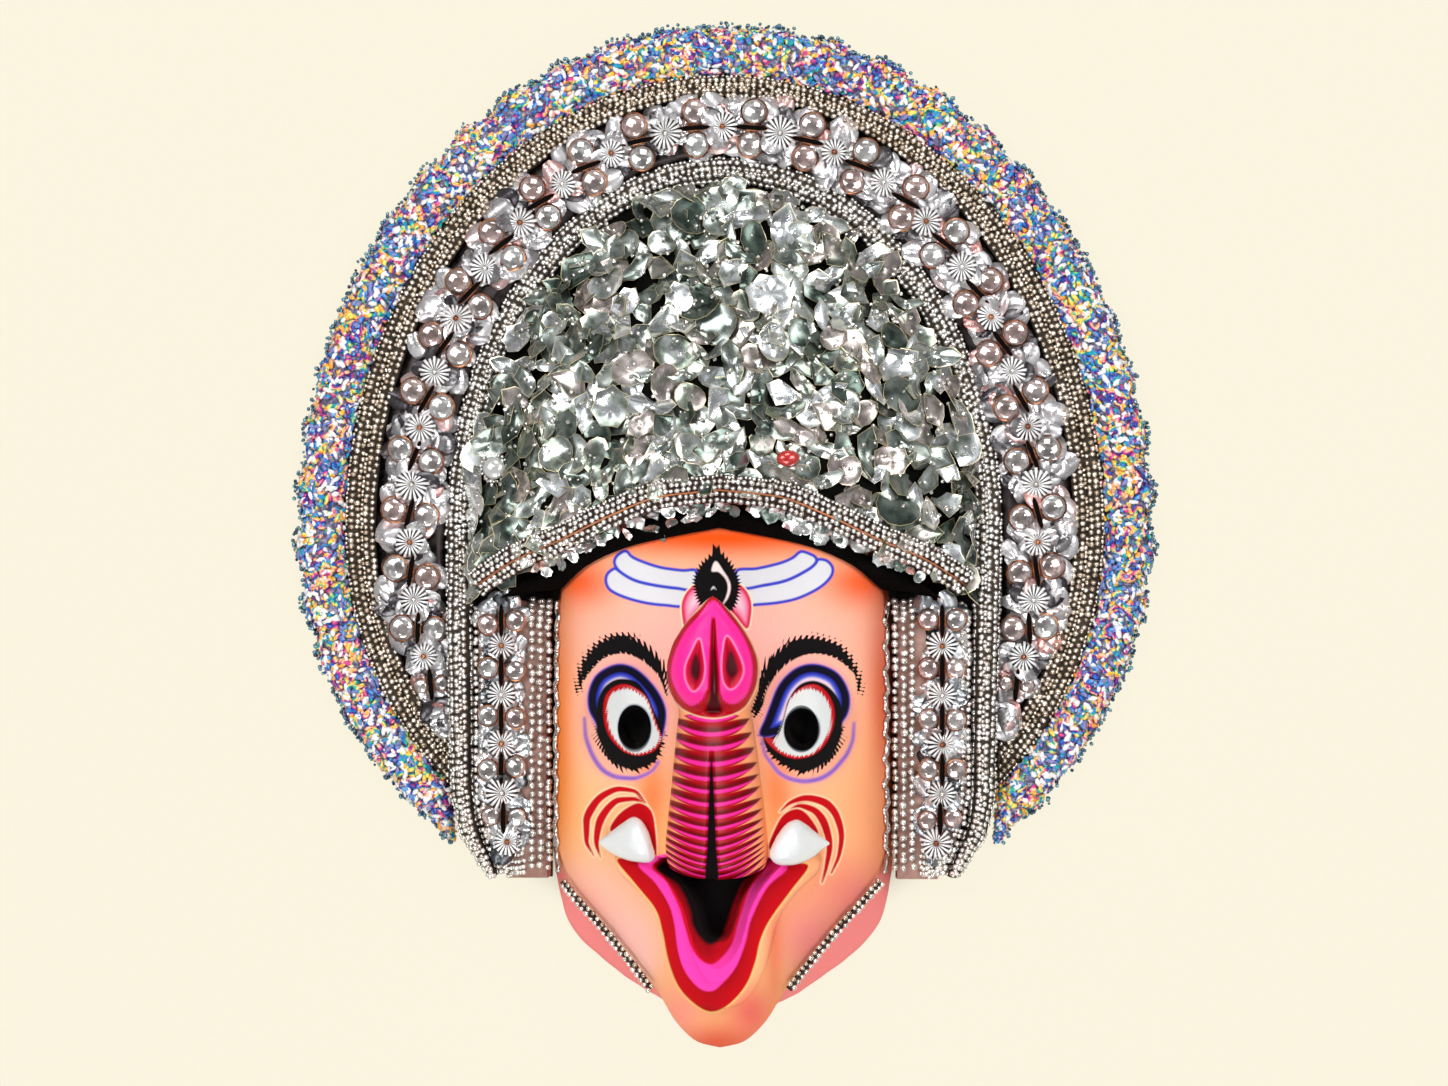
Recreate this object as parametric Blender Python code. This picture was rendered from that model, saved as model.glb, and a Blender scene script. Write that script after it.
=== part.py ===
"""Elephant-faced chhau mask with its beaded headdress, lying on its back.

The papier-mache face looks up (+Z), the top of the headdress points to +Y, and the
floor is z = 0. Design values are in millimetres and become metres when a mesh is made.
"""

import math

import bmesh
import bpy
import numpy as np

MM = 0.001
GAP = 0.4                      # air left between neighbouring pieces
SEAM = 1.0                     # the same where a band of straight steps runs round a curve

# Halo outlines: half width, height above and depth below the halo centre
HALO_CENTRE_Y = -0.5
FRINGE_OUTER = (236.4, 278.2, 223.4)
FRINGE_INNER = (209.0, 249.7, 203.5)
OUTER_BEADS_INNER = (191.0, 236.5, 187.0)
SEQUINS_INNER = (152.5, 204.0, 0.0)
INNER_BEADS_INNER = (137.5, 189.0, 0.0)
BOARD_THICK = 6.0
BOARD_TOP = BOARD_THICK + GAP
FRINGE_HEIGHT = 25.0
FRINGE_LOBES = 38
FRINGE_SCALLOP = 1.2

# Side panels beside the face, and the bead rolls that edge them
PANEL_INNER_X = 94.8
PANEL_OUTER_X = 134.0
PANEL_TOP_Y = -39.0
PANEL_BOTTOM_Y = -190.0
PANEL_FRONT_Z = 29.0
EDGE_X = 149.3                 # outer side of the roll that runs down beside the panel
ROLL_ARCH_Z = 15.0
ROLL_PANEL_Z = 35.0

# Crown: a hollow dome between the inner bead roll and the brow arch
CROWN_WALL = 4.0
CROWN_RIM_Z = 15.0
BROW_CREST_Z = 61.0
BROW_END_Z = 30.0
BROW_ARCH = [(0, 15.5), (30, 12.3), (55, 3.0), (82, -9.8), (109, -21.5), (130, -35)]
BROW_BAND_WIDTH = 15.0

# Face: half outlines as (x, y) from the top of the head down to the chin
FACE_CENTRE_Y = -105.0
FACE_EDGE = [(0, 39), (44, 33), (72, 14), (85, -14), (89, -60), (90, -130), (89.5, -168),
             (84, -188), (59, -220), (35, -249), (23, -267), (11, -276.5), (0, -278.9)]
RIM_EDGE = [(0, 43), (50, 36), (78, 14), (89, -20), (92.4, -70), (92.6, -180), (88.5, -207),
            (82, -221), (60, -241), (38, -256), (20, -263), (0, -265)]
RIM_THICK = 4.0
WALL = 6.5
EDGE_HEIGHT = [(43, 20), (-40, 26), (-180, 28), (-230, 31), (-262, 42), (-280, 50)]
SPINE_HEIGHT = [(43, 66), (0, 67), (-40, 72), (-95, 77), (-150, 83), (-185, 89),
                (-215, 94), (-245, 98), (-262, 90), (-280, 74)]
INSIDE_HEIGHT = [(43, 50), (0, 58), (-40, 64), (-95, 69), (-150, 66), (-185, 48),
                 (-240, 44), (-270, 36)]
BRIDGE_HEIGHT = [(-50, 0), (-64, 1), (-80, 9), (-100, 20), (-130, 26), (-165, 24), (-190, 8),
                 (-205, 0)]
BRIDGE_HALF_WIDTH = 25.0

EYE = (44.8, -103.0)
EYE_BALL = (23.0, 27.0, 4.5)   # half width, half height, bulge
PUPIL = (44.6, -106.0)
PUPIL_FRONT = (8.9, 12.2)
PUPIL_BACK = (6.4, 8.8)

# Mouth: half outlines as (x, y), bottom to top, and the trunk as stations along y
LIP_PATH = [(0, -247.5), (9, -245), (15.5, -236), (20, -224), (23.5, -209), (28.5, -198),
            (37, -187), (47, -177.5)]
LIP_RADIUS = 6.0
LIP_RISE = 2.5                 # tube centre above the skin it grows out of
MOUTH_WIDE = [(0, -243.5), (7.5, -241), (12.6, -235), (15.8, -227), (19, -213), (22.5, -200),
              (28.5, -189), (39.5, -177)]
MOUTH_DEEP = [(0, -220.3), (3.4, -219.4), (6.5, -217), (10, -208), (12.5, -199), (16, -192),
              (20, -186), (30, -177)]
MOUTH_TOP_Y = -174.0
MOUTH_FLOOR_Z = 53.0
# y, half width, top height, underside height
TRUNK = [(-182, 20, 99, 78), (-178, 26.5, 106, 70), (-168, 27.5, 109, 62), (-154, 26, 112, 64),
         (-138, 24, 117, 68), (-120, 22, 123, 74), (-104, 20, 129, 84), (-95, 18.8, 134, 94),
         (-90, 20.5, 143, 102), (-83, 23.3, 148, 108), (-73, 24, 150, 114), (-62, 21.6, 150, 120),
         (-50, 14.8, 148, 126), (-41, 7.2, 146, 132), (-35, 1.2, 144, 140)]
TRUNK_SIDES = 12
NOSTRIL = (10.0, -75.0)

TUSK_LENGTH = 30.0
TUSK_BASE_R = 11.0

# Dressings: domed discs in pairs with a flower between two pairs
DISC_R = 6.8
PANEL_DISC_R = 5.0
DISC_RISE = 2.4
DISC_FLAT = 0.5                # radius of a disc's flat top as a share of its own
DISC_SIDES = 5
FLOWER_R = 9.5
FLOWER_RISE = 2.6
FLOWER_SIDES = 6
STUD_SUNK = 0.7                # how far a disc or flower goes into its foil strip
HALO_FLOWERS = 25
PANEL_FLOWERS = 5

# Glass gems on the crown: x, y, radius, rise above the foil
GEMS = [(-123.2, 33.3, 7.0, 4.5), (37.2, 38.1, 5.0, 3.5)]


def remove_everything():
    """Empty the file's scene."""
    for thing in list(bpy.data.objects):
        bpy.data.objects.remove(thing, do_unlink=True)


def finish(name, colour, roughness, metallic):
    """A Principled material."""
    made = bpy.data.materials.new(name)
    made.use_nodes = True
    shader = made.node_tree.nodes["Principled BSDF"]
    shader.inputs["Base Color"].default_value = (*colour, 1.0)
    shader.inputs["Roughness"].default_value = roughness
    shader.inputs["Metallic"].default_value = metallic
    made.diffuse_color = (*colour, 1.0)
    return made


def through(stations, at):
    """Value at a position on the smooth curve through (position, value) stations.

    A cubic runs from each station to the next, level where the values turn back.
    """
    at = np.asarray(at, float)
    xs, ys = np.array(sorted(stations), float).T
    steep = np.diff(ys) / np.diff(xs)
    before, after = steep[:-1], steep[1:]
    same_way = before * after > 0
    mean = 2 * before * after / np.where(same_way, before + after, 1)
    slope = np.r_[steep[0], np.where(same_way, mean, 0), steep[-1]]
    left = np.clip(np.searchsorted(xs, at) - 1, 0, len(xs) - 2)
    span = xs[left + 1] - xs[left]
    t = np.clip((at - xs[left]) / span, 0, 1)
    return ((2 * t**3 - 3 * t**2 + 1) * ys[left] + (3 * t**2 - 2 * t**3) * ys[left + 1]
            + ((t**3 - 2 * t**2 + t) * slope[left] + (t**3 - t**2) * slope[left + 1]) * span)


def curve_through(points, count=160):
    """Smooth line through points, as count points at even steps of length."""
    points = np.array(points, float)
    steps = np.r_[0, np.cumsum(np.linalg.norm(np.diff(points, axis=0), axis=1))]
    at = np.linspace(0, steps[-1], 12 * count)
    dense = np.stack([through(list(zip(steps, axis)), at) for axis in points.T], axis=1)
    return even(dense, count)


def even(path, count):
    """The same line as count points at even steps of length."""
    path = np.asarray(path, float)
    length = np.r_[0, np.cumsum(np.linalg.norm(np.diff(path, axis=0), axis=1))]
    at = np.linspace(0, length[-1], count)
    return np.stack([np.interp(at, length, axis) for axis in path.T], axis=1)


def both_sides(half):
    """A left-to-right line from its right half, which starts on the centre line."""
    half = np.asarray(half, float)
    left = half[:0:-1] * np.array([-1, 1])
    return np.vstack([left, half])


def halo_half(size, end_degrees, tail=()):
    """Half of a halo outline: two quarter ellipses from the top, then an optional tail."""
    width, top, bottom = size
    turn = np.radians(np.linspace(0, end_degrees, 200))
    rise = np.where(np.cos(turn) > 0, top, bottom) * np.cos(turn)
    arc = np.stack([width * np.sin(turn), HALO_CENTRE_Y + rise], axis=1)
    if len(tail):
        arc = np.vstack([arc, tail])
    return arc


def shifted(line, outward):
    """A left-to-right line over the headdress, moved outwards by a distance."""
    along = np.gradient(line, axis=0)
    along /= np.linalg.norm(along, axis=1)[:, None]
    return line + np.stack([-along[:, 1], along[:, 0]], axis=1) * outward


def angle_where(size, x):
    """Angle from the top, below the centre, at which a halo outline reaches x."""
    return 180 - math.degrees(math.asin(x / size[0]))


def make(name, build, look, home, cutter=False):
    """A named object from a bmesh in millimetres, faces turned outwards."""
    bmesh.ops.scale(build, vec=(MM, MM, MM), verts=build.verts)
    bmesh.ops.recalc_face_normals(build, faces=build.faces)
    mesh = bpy.data.meshes.new(name)
    build.to_mesh(mesh)
    build.free()
    made = bpy.data.objects.new(name, mesh)
    home.objects.link(made)
    if look:
        mesh.materials.append(look)
        mesh.shade_smooth()
        mesh.set_sharp_from_angle(angle=math.radians(40))
    if cutter:
        made.hide_render = True
        made.display_type = "WIRE"
    return made


def loft(rings, caps=True, pole=None):
    """Closed skin over a stack of rings (stations, points, xyz), with flat end caps.

    A pole closes the last ring onto one point in place of its cap.
    """
    rings = np.asarray(rings, float)
    build = bmesh.new()
    rows = [[build.verts.new(point) for point in ring] for ring in rings]
    count = len(rows[0])
    for low, high in zip(rows, rows[1:]):
        for i in range(count):
            j = (i + 1) % count
            build.faces.new((low[i], low[j], high[j], high[i]))
    if caps:
        build.faces.new(rows[0][::-1])
    if pole is not None:
        tip = build.verts.new(pole)
        for i in range(count):
            build.faces.new((rows[-1][i], rows[-1][(i + 1) % count], tip))
    elif caps:
        build.faces.new(rows[-1])
    return build


def band_rings(inside, outside, profile, base=0.0, top=1.0):
    """Rings of a band between two lines; the profile runs round it as (across, up).

    across goes 0 to 1 from the inside line to the outside line, and up 0 to 1 from
    base to top, which may change along the band.
    """
    across, up = np.array(profile, float).T
    inside = np.asarray(inside)[:, None, :]
    outside = np.asarray(outside)[:, None, :]
    flat = inside + (outside - inside) * across[None, :, None]
    base = np.broadcast_to(base, (len(inside),))[:, None]
    top = np.broadcast_to(top, (len(inside),))[:, None]
    height = base + (top - base) * up[None, :]
    return np.concatenate([flat, height[:, :, None]], axis=2)


def ridged(rows, valley=0.72):
    """Profile of a band that carries a number of rounded bead rows."""
    ring = [(0, 0)]
    for row in range(rows):
        left = row / rows
        ring += [(left + 0.04 / rows, valley), (left + 0.3 / rows, 1), (left + 0.7 / rows, 1)]
    return ring + [(1 - 0.04 / rows, valley), (1, 0)]


def join(made, others, operation):
    """Add or cut solids with exact Boolean modifiers."""
    for number, other in enumerate(others):
        step = made.modifiers.new(f"{operation.lower()}_{number}", "BOOLEAN")
        step.operation = operation
        step.solver = "EXACT"
        step.object = other


def radius_at(outline, angle):
    """Distance from the face centre to a face outline, by angle."""
    edge = both_sides(curve_through(outline))
    loop = edge[:-1]
    x, y = loop[:, 0], loop[:, 1] - FACE_CENTRE_Y
    order = np.argsort(np.arctan2(y, x))
    turn = np.arctan2(y, x)[order]
    reach = np.hypot(x, y)[order]
    return np.interp(angle, turn, reach, period=2 * math.pi)


def face_height(x, y):
    """Height of the face's outer surface over (x, y).

    A flattened dome between the edge height and the height along the spine, with the
    nose bridge that carries the trunk, the eyeballs and the cheeks added to it.
    """
    angle = np.arctan2(y - FACE_CENTRE_Y, x)
    reach = radius_at(FACE_EDGE, angle)
    s = np.clip(np.hypot(x, y - FACE_CENTRE_Y) / reach, 0, 1)
    edge_y = FACE_CENTRE_Y + reach * np.sin(angle)
    edge = through(EDGE_HEIGHT, edge_y)
    height = edge + (through(SPINE_HEIGHT, y) - edge) * (1 - s**3) ** 0.55
    height += through(BRIDGE_HEIGHT, y) * np.exp(-np.abs(x / BRIDGE_HALF_WIDTH) ** 2.4)
    eye_x, eye_y = EYE
    half_w, half_h, bulge = EYE_BALL
    ring = np.sqrt(((np.abs(x) - eye_x) / half_w) ** 2 + ((y - eye_y) / half_h) ** 2)
    height += bulge * np.exp(-ring**4) - 2.2 * np.exp(-((ring - 1.3) / 0.28) ** 2)
    height += 4.0 * np.exp(-((np.abs(x) - 40) / 17) ** 2 - ((y + 160) / 20) ** 2)
    return height


def face_skin(home, look):
    """Outer body of the face: dome rings, the side wall and a flat back."""
    sectors = 36
    turn = np.linspace(0, 2 * math.pi, sectors, endpoint=False)
    way = np.stack([np.cos(turn), np.sin(turn)], axis=1)
    centre = np.array([0, FACE_CENTRE_Y])
    edge = centre + way * radius_at(FACE_EDGE, turn)[:, None]
    rim = centre + way * radius_at(RIM_EDGE, turn)[:, None]
    lip = through(EDGE_HEIGHT, edge[:, 1])
    flat = np.zeros(sectors)
    rings = [np.c_[rim, flat], np.c_[rim, flat + RIM_THICK],
             np.c_[edge * 0.45 + rim * 0.55, RIM_THICK + 0.45 * (lip - RIM_THICK)],
             np.c_[edge, lip]]
    for s in (0.97, 0.91, 0.83, 0.74, 0.64, 0.53, 0.41, 0.28, 0.12):
        spot = centre + (edge - centre) * s
        rings.append(np.c_[spot, face_height(spot[:, 0], spot[:, 1])])
    pole = (0, FACE_CENTRE_Y, float(face_height(0.0, FACE_CENTRE_Y)))
    return make("face_shell", loft(rings, pole=pole), look, home)


def face_inside(home):
    """The hollow behind the face, open at the back."""
    sectors = 22
    turn = np.linspace(0, 2 * math.pi, sectors, endpoint=False)
    way = np.stack([np.cos(turn), np.sin(turn)], axis=1)
    centre = np.array([0, FACE_CENTRE_Y])
    edge = centre + way * (radius_at(RIM_EDGE, turn) - WALL)[:, None]
    rings = [np.c_[edge, np.full(sectors, -5.0)], np.c_[edge, np.full(sectors, 8.0)]]
    for s in (0.95, 0.84, 0.68, 0.45, 0.2):
        spot = centre + (edge - centre) * s
        top = through(INSIDE_HEIGHT, spot[:, 1])
        rings.append(np.c_[spot, 8 + (top - 8) * (1 - s**3) ** 0.6])
    pole = (0, FACE_CENTRE_Y, float(through(INSIDE_HEIGHT, FACE_CENTRE_Y)))
    return make("cut_inside", loft(rings, pole=pole), None, home, cutter=True)


def closed_mouth(half, count=10):
    """Mouth outline as a closed ring: up the right side and down the left."""
    right = curve_through(half, count)
    right = np.vstack([right, [right[-1, 0], MOUTH_TOP_Y]])
    return np.vstack([right, right[:0:-1] * np.array([-1, 1])])


def mouth_cut(home):
    """Funnel between the lips that ends in the dark recess."""
    wide = closed_mouth(MOUTH_WIDE)
    deep = closed_mouth(MOUTH_DEEP)
    floor = deep * np.array([0.8, 1])
    levels = [(wide, 125), (wide, 88), (deep, 75), (floor, MOUTH_FLOOR_Z)]
    rings = [np.c_[ring, np.full(len(ring), height)] for ring, height in levels]
    return make("cut_mouth", loft(rings), None, home, cutter=True)


def lips(home):
    """Rounded lip that runs from one corner of the mouth round the jaw to the other."""
    path = both_sides(curve_through(LIP_PATH, 10))
    along = np.gradient(path, axis=0)
    along /= np.linalg.norm(along, axis=1)[:, None]
    side = np.stack([-along[:, 1], along[:, 0]], axis=1)
    turn = np.linspace(0, 2 * math.pi, 8, endpoint=False)
    flat = path[:, None, :] + side[:, None, :] * (LIP_RADIUS * np.cos(turn))[None, :, None]
    rise = (face_height(path[:, 0], path[:, 1]) + LIP_RISE)[:, None]
    up = rise + LIP_RADIUS * np.sin(turn)[None, :] + 0 * flat[:, :, 0]
    return make("add_lips", loft(np.concatenate([flat, up[:, :, None]], axis=2)), None, home,
                cutter=True)


def trunk(home):
    """Raised trunk: ovals across the mask from the mouth to the pointed tip."""
    y, half, top, under = np.array(TRUNK, float).T
    turn = np.linspace(0, 2 * math.pi, TRUNK_SIDES, endpoint=False)
    power = 0.85
    across = np.sign(np.cos(turn)) * np.abs(np.cos(turn)) ** power
    up = np.sign(np.sin(turn)) * np.abs(np.sin(turn)) ** power
    rings = np.stack([half[:, None] * across[None, :], np.repeat(y[:, None], TRUNK_SIDES, axis=1),
                      (top + under)[:, None] / 2 + (top - under)[:, None] / 2 * up[None, :]],
                     axis=2)
    return make("add_trunk", loft(rings), None, home, cutter=True)


def oval_cone(name, centre, low, high, home, sides=12):
    """Upright cutter with an oval at each end: (half width, half height, z)."""
    turn = np.linspace(0, 2 * math.pi, sides, endpoint=False)
    rings = [np.c_[centre[0] + a * np.cos(turn), centre[1] + b * np.sin(turn),
                   np.full(sides, z)] for a, b, z in (low, high)]
    return make(name, loft(rings), None, home, cutter=True)


def face(home, cutters, look):
    """Face, trunk and lips in one hollow shell, with pierced pupils."""
    shell = face_skin(home, look)
    lip = lips(cutters)
    mouth = mouth_cut(cutters)
    nose = trunk(cutters)
    hollow = face_inside(cutters)
    join(shell, [lip], "UNION")
    join(shell, [mouth], "DIFFERENCE")
    join(shell, [nose], "UNION")
    holes = [hollow]
    grow = 1.25
    for side, word in ((-1, "left"), (1, "right")):
        low = (*PUPIL_BACK, 58)
        high = (PUPIL_FRONT[0] * grow, PUPIL_FRONT[1] * grow, 88)
        holes.append(oval_cone(f"cut_pupil_{word}", (side * PUPIL[0], PUPIL[1]), low, high,
                               cutters))
        nostril = (side * NOSTRIL[0], NOSTRIL[1])
        holes.append(oval_cone(f"cut_nostril_{word}", nostril, (2.0, 3.5, 143), (5.5, 10, 156),
                               cutters, sides=8))
    join(shell, holes, "DIFFERENCE")
    return shell


def tusks(home, look):
    """Two short fat cones at the mouth corners, seated on the cheeks."""
    stations = np.array([(0.0, 0.80), (0.15, 0.98), (0.35, 1.0), (0.55, 0.86), (0.75, 0.6),
                         (0.9, 0.33), (0.98, 0.12)])
    turn = np.linspace(0, 2 * math.pi, 10, endpoint=False)
    for side, word in ((-1, "left"), (1, "right")):
        rings = []
        for along, thick in stations:
            x = side * (32.5 + TUSK_LENGTH * along)
            y0 = -164.0 - 1.8 * along + 1.5 * math.sin(math.pi * along)
            y = y0 + TUSK_BASE_R * thick * np.cos(turn)
            seat = face_height(np.full(10, x), y) + GAP + 0.5
            middle = float(face_height(x, y0)) + 7.0 + 3.0 * along
            z = middle + 0.9 * TUSK_BASE_R * thick * np.sin(turn)
            rings.append(np.c_[np.full(10, x), y, np.maximum(z, seat)])
        make(f"tusk_{word}", loft(rings), look, home)


def halo_board(home, look):
    """Card board behind the headdress, cut out for the wearer's head."""
    outer = halo_half(FRINGE_INNER, angle_where(FRINGE_INNER, EDGE_X + 0.5))
    outer = shifted(both_sides(even(outer, 34)), -0.3)[33:]
    foot = [(148.5, -147), (143.0, -168), (128, -189), (PANEL_INNER_X - 0.6, -191)]
    notch = [(PANEL_INNER_X - 0.6, 24), (90, 52), (76, 82), (54, 104), (28, 116), (0, 120)]
    half = np.vstack([outer, foot, notch[:1], curve_through(notch, 10)[1:]])
    outline = np.vstack([half, half[::-1][1:-1] * np.array([-1, 1])])
    drawing = bpy.data.curves.new("halo_board", "CURVE")
    drawing.dimensions = "2D"
    drawing.fill_mode = "BOTH"
    drawing.extrude = BOARD_THICK / 2 * MM
    edge = drawing.splines.new("POLY")
    edge.points.add(len(outline) - 1)
    for point, (x, y) in zip(edge.points, outline):
        point.co = (x * MM, y * MM, 0, 1)
    edge.use_cyclic_u = True
    board = bpy.data.objects.new("halo_board", drawing)
    board.location.z = BOARD_THICK / 2 * MM
    drawing.materials.append(look)
    home.objects.link(board)
    return board


def tinsel_fringe(home, look):
    """Fat rope of tinsel round the halo's edge, scalloped on its outer side."""
    count = 2 * FRINGE_LOBES + 1
    end = angle_where(FRINGE_OUTER, EDGE_X + 0.9)
    outer = halo_half(FRINGE_OUTER, end)
    inner = halo_half(FRINGE_INNER, angle_where(FRINGE_INNER, EDGE_X + 0.5),
                      tail=[(EDGE_X + 0.5, outer[-1, 1] + 1.5)])
    outside = both_sides(even(outer, FRINGE_LOBES + 1))
    inside = shifted(both_sides(even(inner, FRINGE_LOBES + 1)), 0.3)
    centre = np.array([0, HALO_CENTRE_Y])
    away = outside - centre
    away /= np.linalg.norm(away, axis=1)[:, None]
    lobe = FRINGE_SCALLOP * np.cos(math.pi * np.arange(count))
    outside = outside + away * lobe[:, None]
    gap = np.linalg.norm(outside - inside, axis=1)
    top = np.minimum(FRINGE_HEIGHT, 7 + gap * 0.7) + 0.8 * lobe
    profile = [(0.0, 0.0), (0.02, 0.72), (0.45, 1.0), (1.0, 0.5), (0.92, 0.0)]
    return make("tinsel_fringe", loft(band_rings(inside, outside, profile, 0.0, top)), look,
                home)


def outer_beads(home, look):
    """Band of bead rows between the fringe and the sequins."""
    inner = halo_half(OUTER_BEADS_INNER, angle_where(OUTER_BEADS_INNER, EDGE_X + 0.5))
    outer = halo_half(FRINGE_INNER, angle_where(FRINGE_INNER, EDGE_X + 0.5))
    inside = shifted(both_sides(even(inner, 17)), SEAM)
    outside = shifted(both_sides(even(outer, 17)), -GAP)
    return make("outer_bead_band", loft(band_rings(inside, outside, ridged(2), BOARD_TOP, 14.0)),
                look, home)


def dressing(name, base, discs, flowers, home, cutters, look):
    """A foil strip with domed discs and flowers standing on it, joined in one solid.

    discs and flowers are (x, y, z, radius), with z the surface that they stand on.
    """
    strip = make(name, base, look, home)
    build = bmesh.new()
    for x, y, z, radius, rise, flat, sides in (
            [(*spot, DISC_RISE, DISC_FLAT, DISC_SIDES) for spot in discs]
            + [(*spot, FLOWER_RISE, 0, FLOWER_SIDES) for spot in flowers]):
        turn = np.linspace(0, 2 * math.pi, sides, endpoint=False) + 0.2
        low = [build.verts.new((x + radius * math.cos(a), y + radius * math.sin(a),
                                z - STUD_SUNK)) for a in turn]
        build.faces.new(low[::-1])
        if not flat:
            tip = build.verts.new((x, y, z + rise))
            for i in range(sides):
                build.faces.new((low[i], low[(i + 1) % sides], tip))
            continue
        high = [build.verts.new((x + flat * radius * math.cos(a),
                                 y + flat * radius * math.sin(a), z + rise)) for a in turn]
        for i in range(sides):
            j = (i + 1) % sides
            build.faces.new((low[i], low[j], high[j], high[i]))
        build.faces.new(high)
    studs = make(f"add_{name}", build, None, cutters, cutter=True)
    join(strip, [studs], "UNION")
    return strip


def sequin_band(home, cutters, look):
    """Foil strip between the bead bands, with its discs and flowers."""
    outer = halo_half(OUTER_BEADS_INNER, angle_where(OUTER_BEADS_INNER, EDGE_X + 3.5))
    end = np.array([EDGE_X + 0.6, outer[-1, 1] + 3])
    inner = halo_half(SEQUINS_INNER, 90, tail=[(SEQUINS_INNER[0] - 1.5, -60), end])
    outside = shifted(both_sides(even(outer, 17)), -GAP)
    inside = shifted(both_sides(even(inner, 17)), SEAM)
    low, high = 10.0, 13.0
    profile = [(0, 0), (0, 1), (1, (low - BOARD_TOP) / (high - BOARD_TOP)), (1, 0)]
    base = loft(band_rings(inside, outside, profile, BOARD_TOP, high))
    middle = both_sides(even((even(inner, 400) + even(outer, 400)) / 2, 400))
    count = 2 * HALO_FLOWERS + 1
    marks = even(middle[26:-26], count)
    inner_marks = even(both_sides(even(inner, 400))[26:-26], count)
    away = marks - inner_marks
    half = np.linalg.norm(away, axis=1)
    away /= half[:, None]
    level = (low + high) / 2
    discs, flowers = [], []
    for number in range(count):
        room = half[number] - SEAM - GAP
        if number % 2:
            flowers.append((*marks[number], level, min(FLOWER_R, room)))
            continue
        radius = min(DISC_R, room / 2)
        for side in (-1, 1):
            spot = marks[number] + away[number] * side * (radius + 0.6)
            discs.append((*spot, level - side * 0.6, radius))
    return dressing("sequin_band", base, discs, flowers, home, cutters, look)


def inner_beads(home, look):
    """Roll of bead rows round the crown that runs on down beside the panels."""
    outer_tail = [(SEQUINS_INNER[0] - 1.6, -60), (EDGE_X, -118), (EDGE_X - 0.6, -146),
                  (143.5, -168), (128.5, -189.5)]
    inner_tail = [(PANEL_OUTER_X + 1.6, -42), (PANEL_OUTER_X + 0.6, -140),
                  (PANEL_OUTER_X - 1.5, -160), (121, -188)]
    outer = halo_half(SEQUINS_INNER, 90, tail=outer_tail)
    inner = halo_half(INNER_BEADS_INNER, 90, tail=inner_tail)
    outside = shifted(both_sides(even(outer, 18)), -GAP)
    inside = shifted(both_sides(even(inner, 18)), SEAM)
    top = through([(-200, ROLL_PANEL_Z), (-60, ROLL_PANEL_Z), (-15, ROLL_ARCH_Z + 3),
                   (40, ROLL_ARCH_Z), (220, ROLL_ARCH_Z)], inside[:, 1])
    return make("inner_bead_band", loft(band_rings(inside, outside, ridged(2, 0.86), BOARD_TOP,
                                                   top)), look, home)


def brow_height(x):
    """Height of the crown's lower edge along the brow arch."""
    return BROW_END_Z + (BROW_CREST_Z - BROW_END_Z) * np.cos(np.abs(x) / 130 * math.pi / 2) ** 0.8


def crown_dome(home, cutters, look):
    """Hollow crown over the head, with its foil's shallow dents and its two gems."""
    along, across = 23, 7
    upper = halo_half(INNER_BEADS_INNER, 90, tail=[(INNER_BEADS_INNER[0] - 0.8, -30)])
    upper = both_sides(even(upper, 12)) * np.array([1 - 0.9 / 137, 1]) - np.array([0, 0.5])
    lower = both_sides(even(curve_through(BROW_ARCH), 12))
    v = np.linspace(0, 1, across)
    flat = upper[:, None] * (1 - v)[None, :, None] + lower[:, None] * v[None, :, None]
    brow = brow_height(lower[:, 0])
    rise = np.sin(v * math.pi / 2) ** 0.85
    high = CROWN_RIM_Z + (brow[:, None] - CROWN_RIM_Z) * rise[None, :]
    low = np.maximum(high - CROWN_WALL, BOARD_TOP)
    low[:, 0] = BOARD_TOP
    inner = np.clip(v, 0, 1)[None, :] * (1 - v)[None, :] * 4
    dents = 1.1 * np.sin(1.9 * np.arange(along))[:, None] * np.cos(2.3 * np.arange(across))
    high = high + dents * inner
    build = bmesh.new()
    tops = [[build.verts.new((*flat[i, j], high[i, j])) for j in range(across)]
            for i in range(along)]
    unders = [[build.verts.new((*flat[i, j], low[i, j])) for j in range(across)]
              for i in range(along)]
    for i in range(along - 1):
        for j in range(across - 1):
            build.faces.new((tops[i][j], tops[i + 1][j], tops[i + 1][j + 1], tops[i][j + 1]))
            build.faces.new((unders[i][j], unders[i][j + 1], unders[i + 1][j + 1],
                             unders[i + 1][j]))
    for i in range(along - 1):
        for j in (0, across - 1):
            build.faces.new((tops[i][j], tops[i + 1][j], unders[i + 1][j], unders[i][j]))
    for j in range(across - 1):
        for i in (0, along - 1):
            build.faces.new((tops[i][j], tops[i][j + 1], unders[i][j + 1], unders[i][j]))
    crown = make("crown_dome", build, look, home)
    gems = []
    for number, (x, y, radius, rise) in enumerate(GEMS):
        nearest = np.argmin(np.hypot(flat[:, :, 0] - x, flat[:, :, 1] - y))
        foot = high.flat[nearest]
        gems.append(oval_cone(f"add_gem_{number}", (x, y), (radius, radius, foot - 1.5),
                              (radius * 0.55, radius * 0.55, foot + rise), cutters, sides=8))
    join(crown, gems, "UNION")
    return crown


def brow_line(inward, count):
    """The brow arch moved towards the face by a distance."""
    path = both_sides(even(curve_through(BROW_ARCH), count))
    along = np.gradient(path, axis=0)
    along /= np.linalg.norm(along, axis=1)[:, None]
    return path + np.stack([along[:, 1], -along[:, 0]], axis=1) * inward


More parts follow.
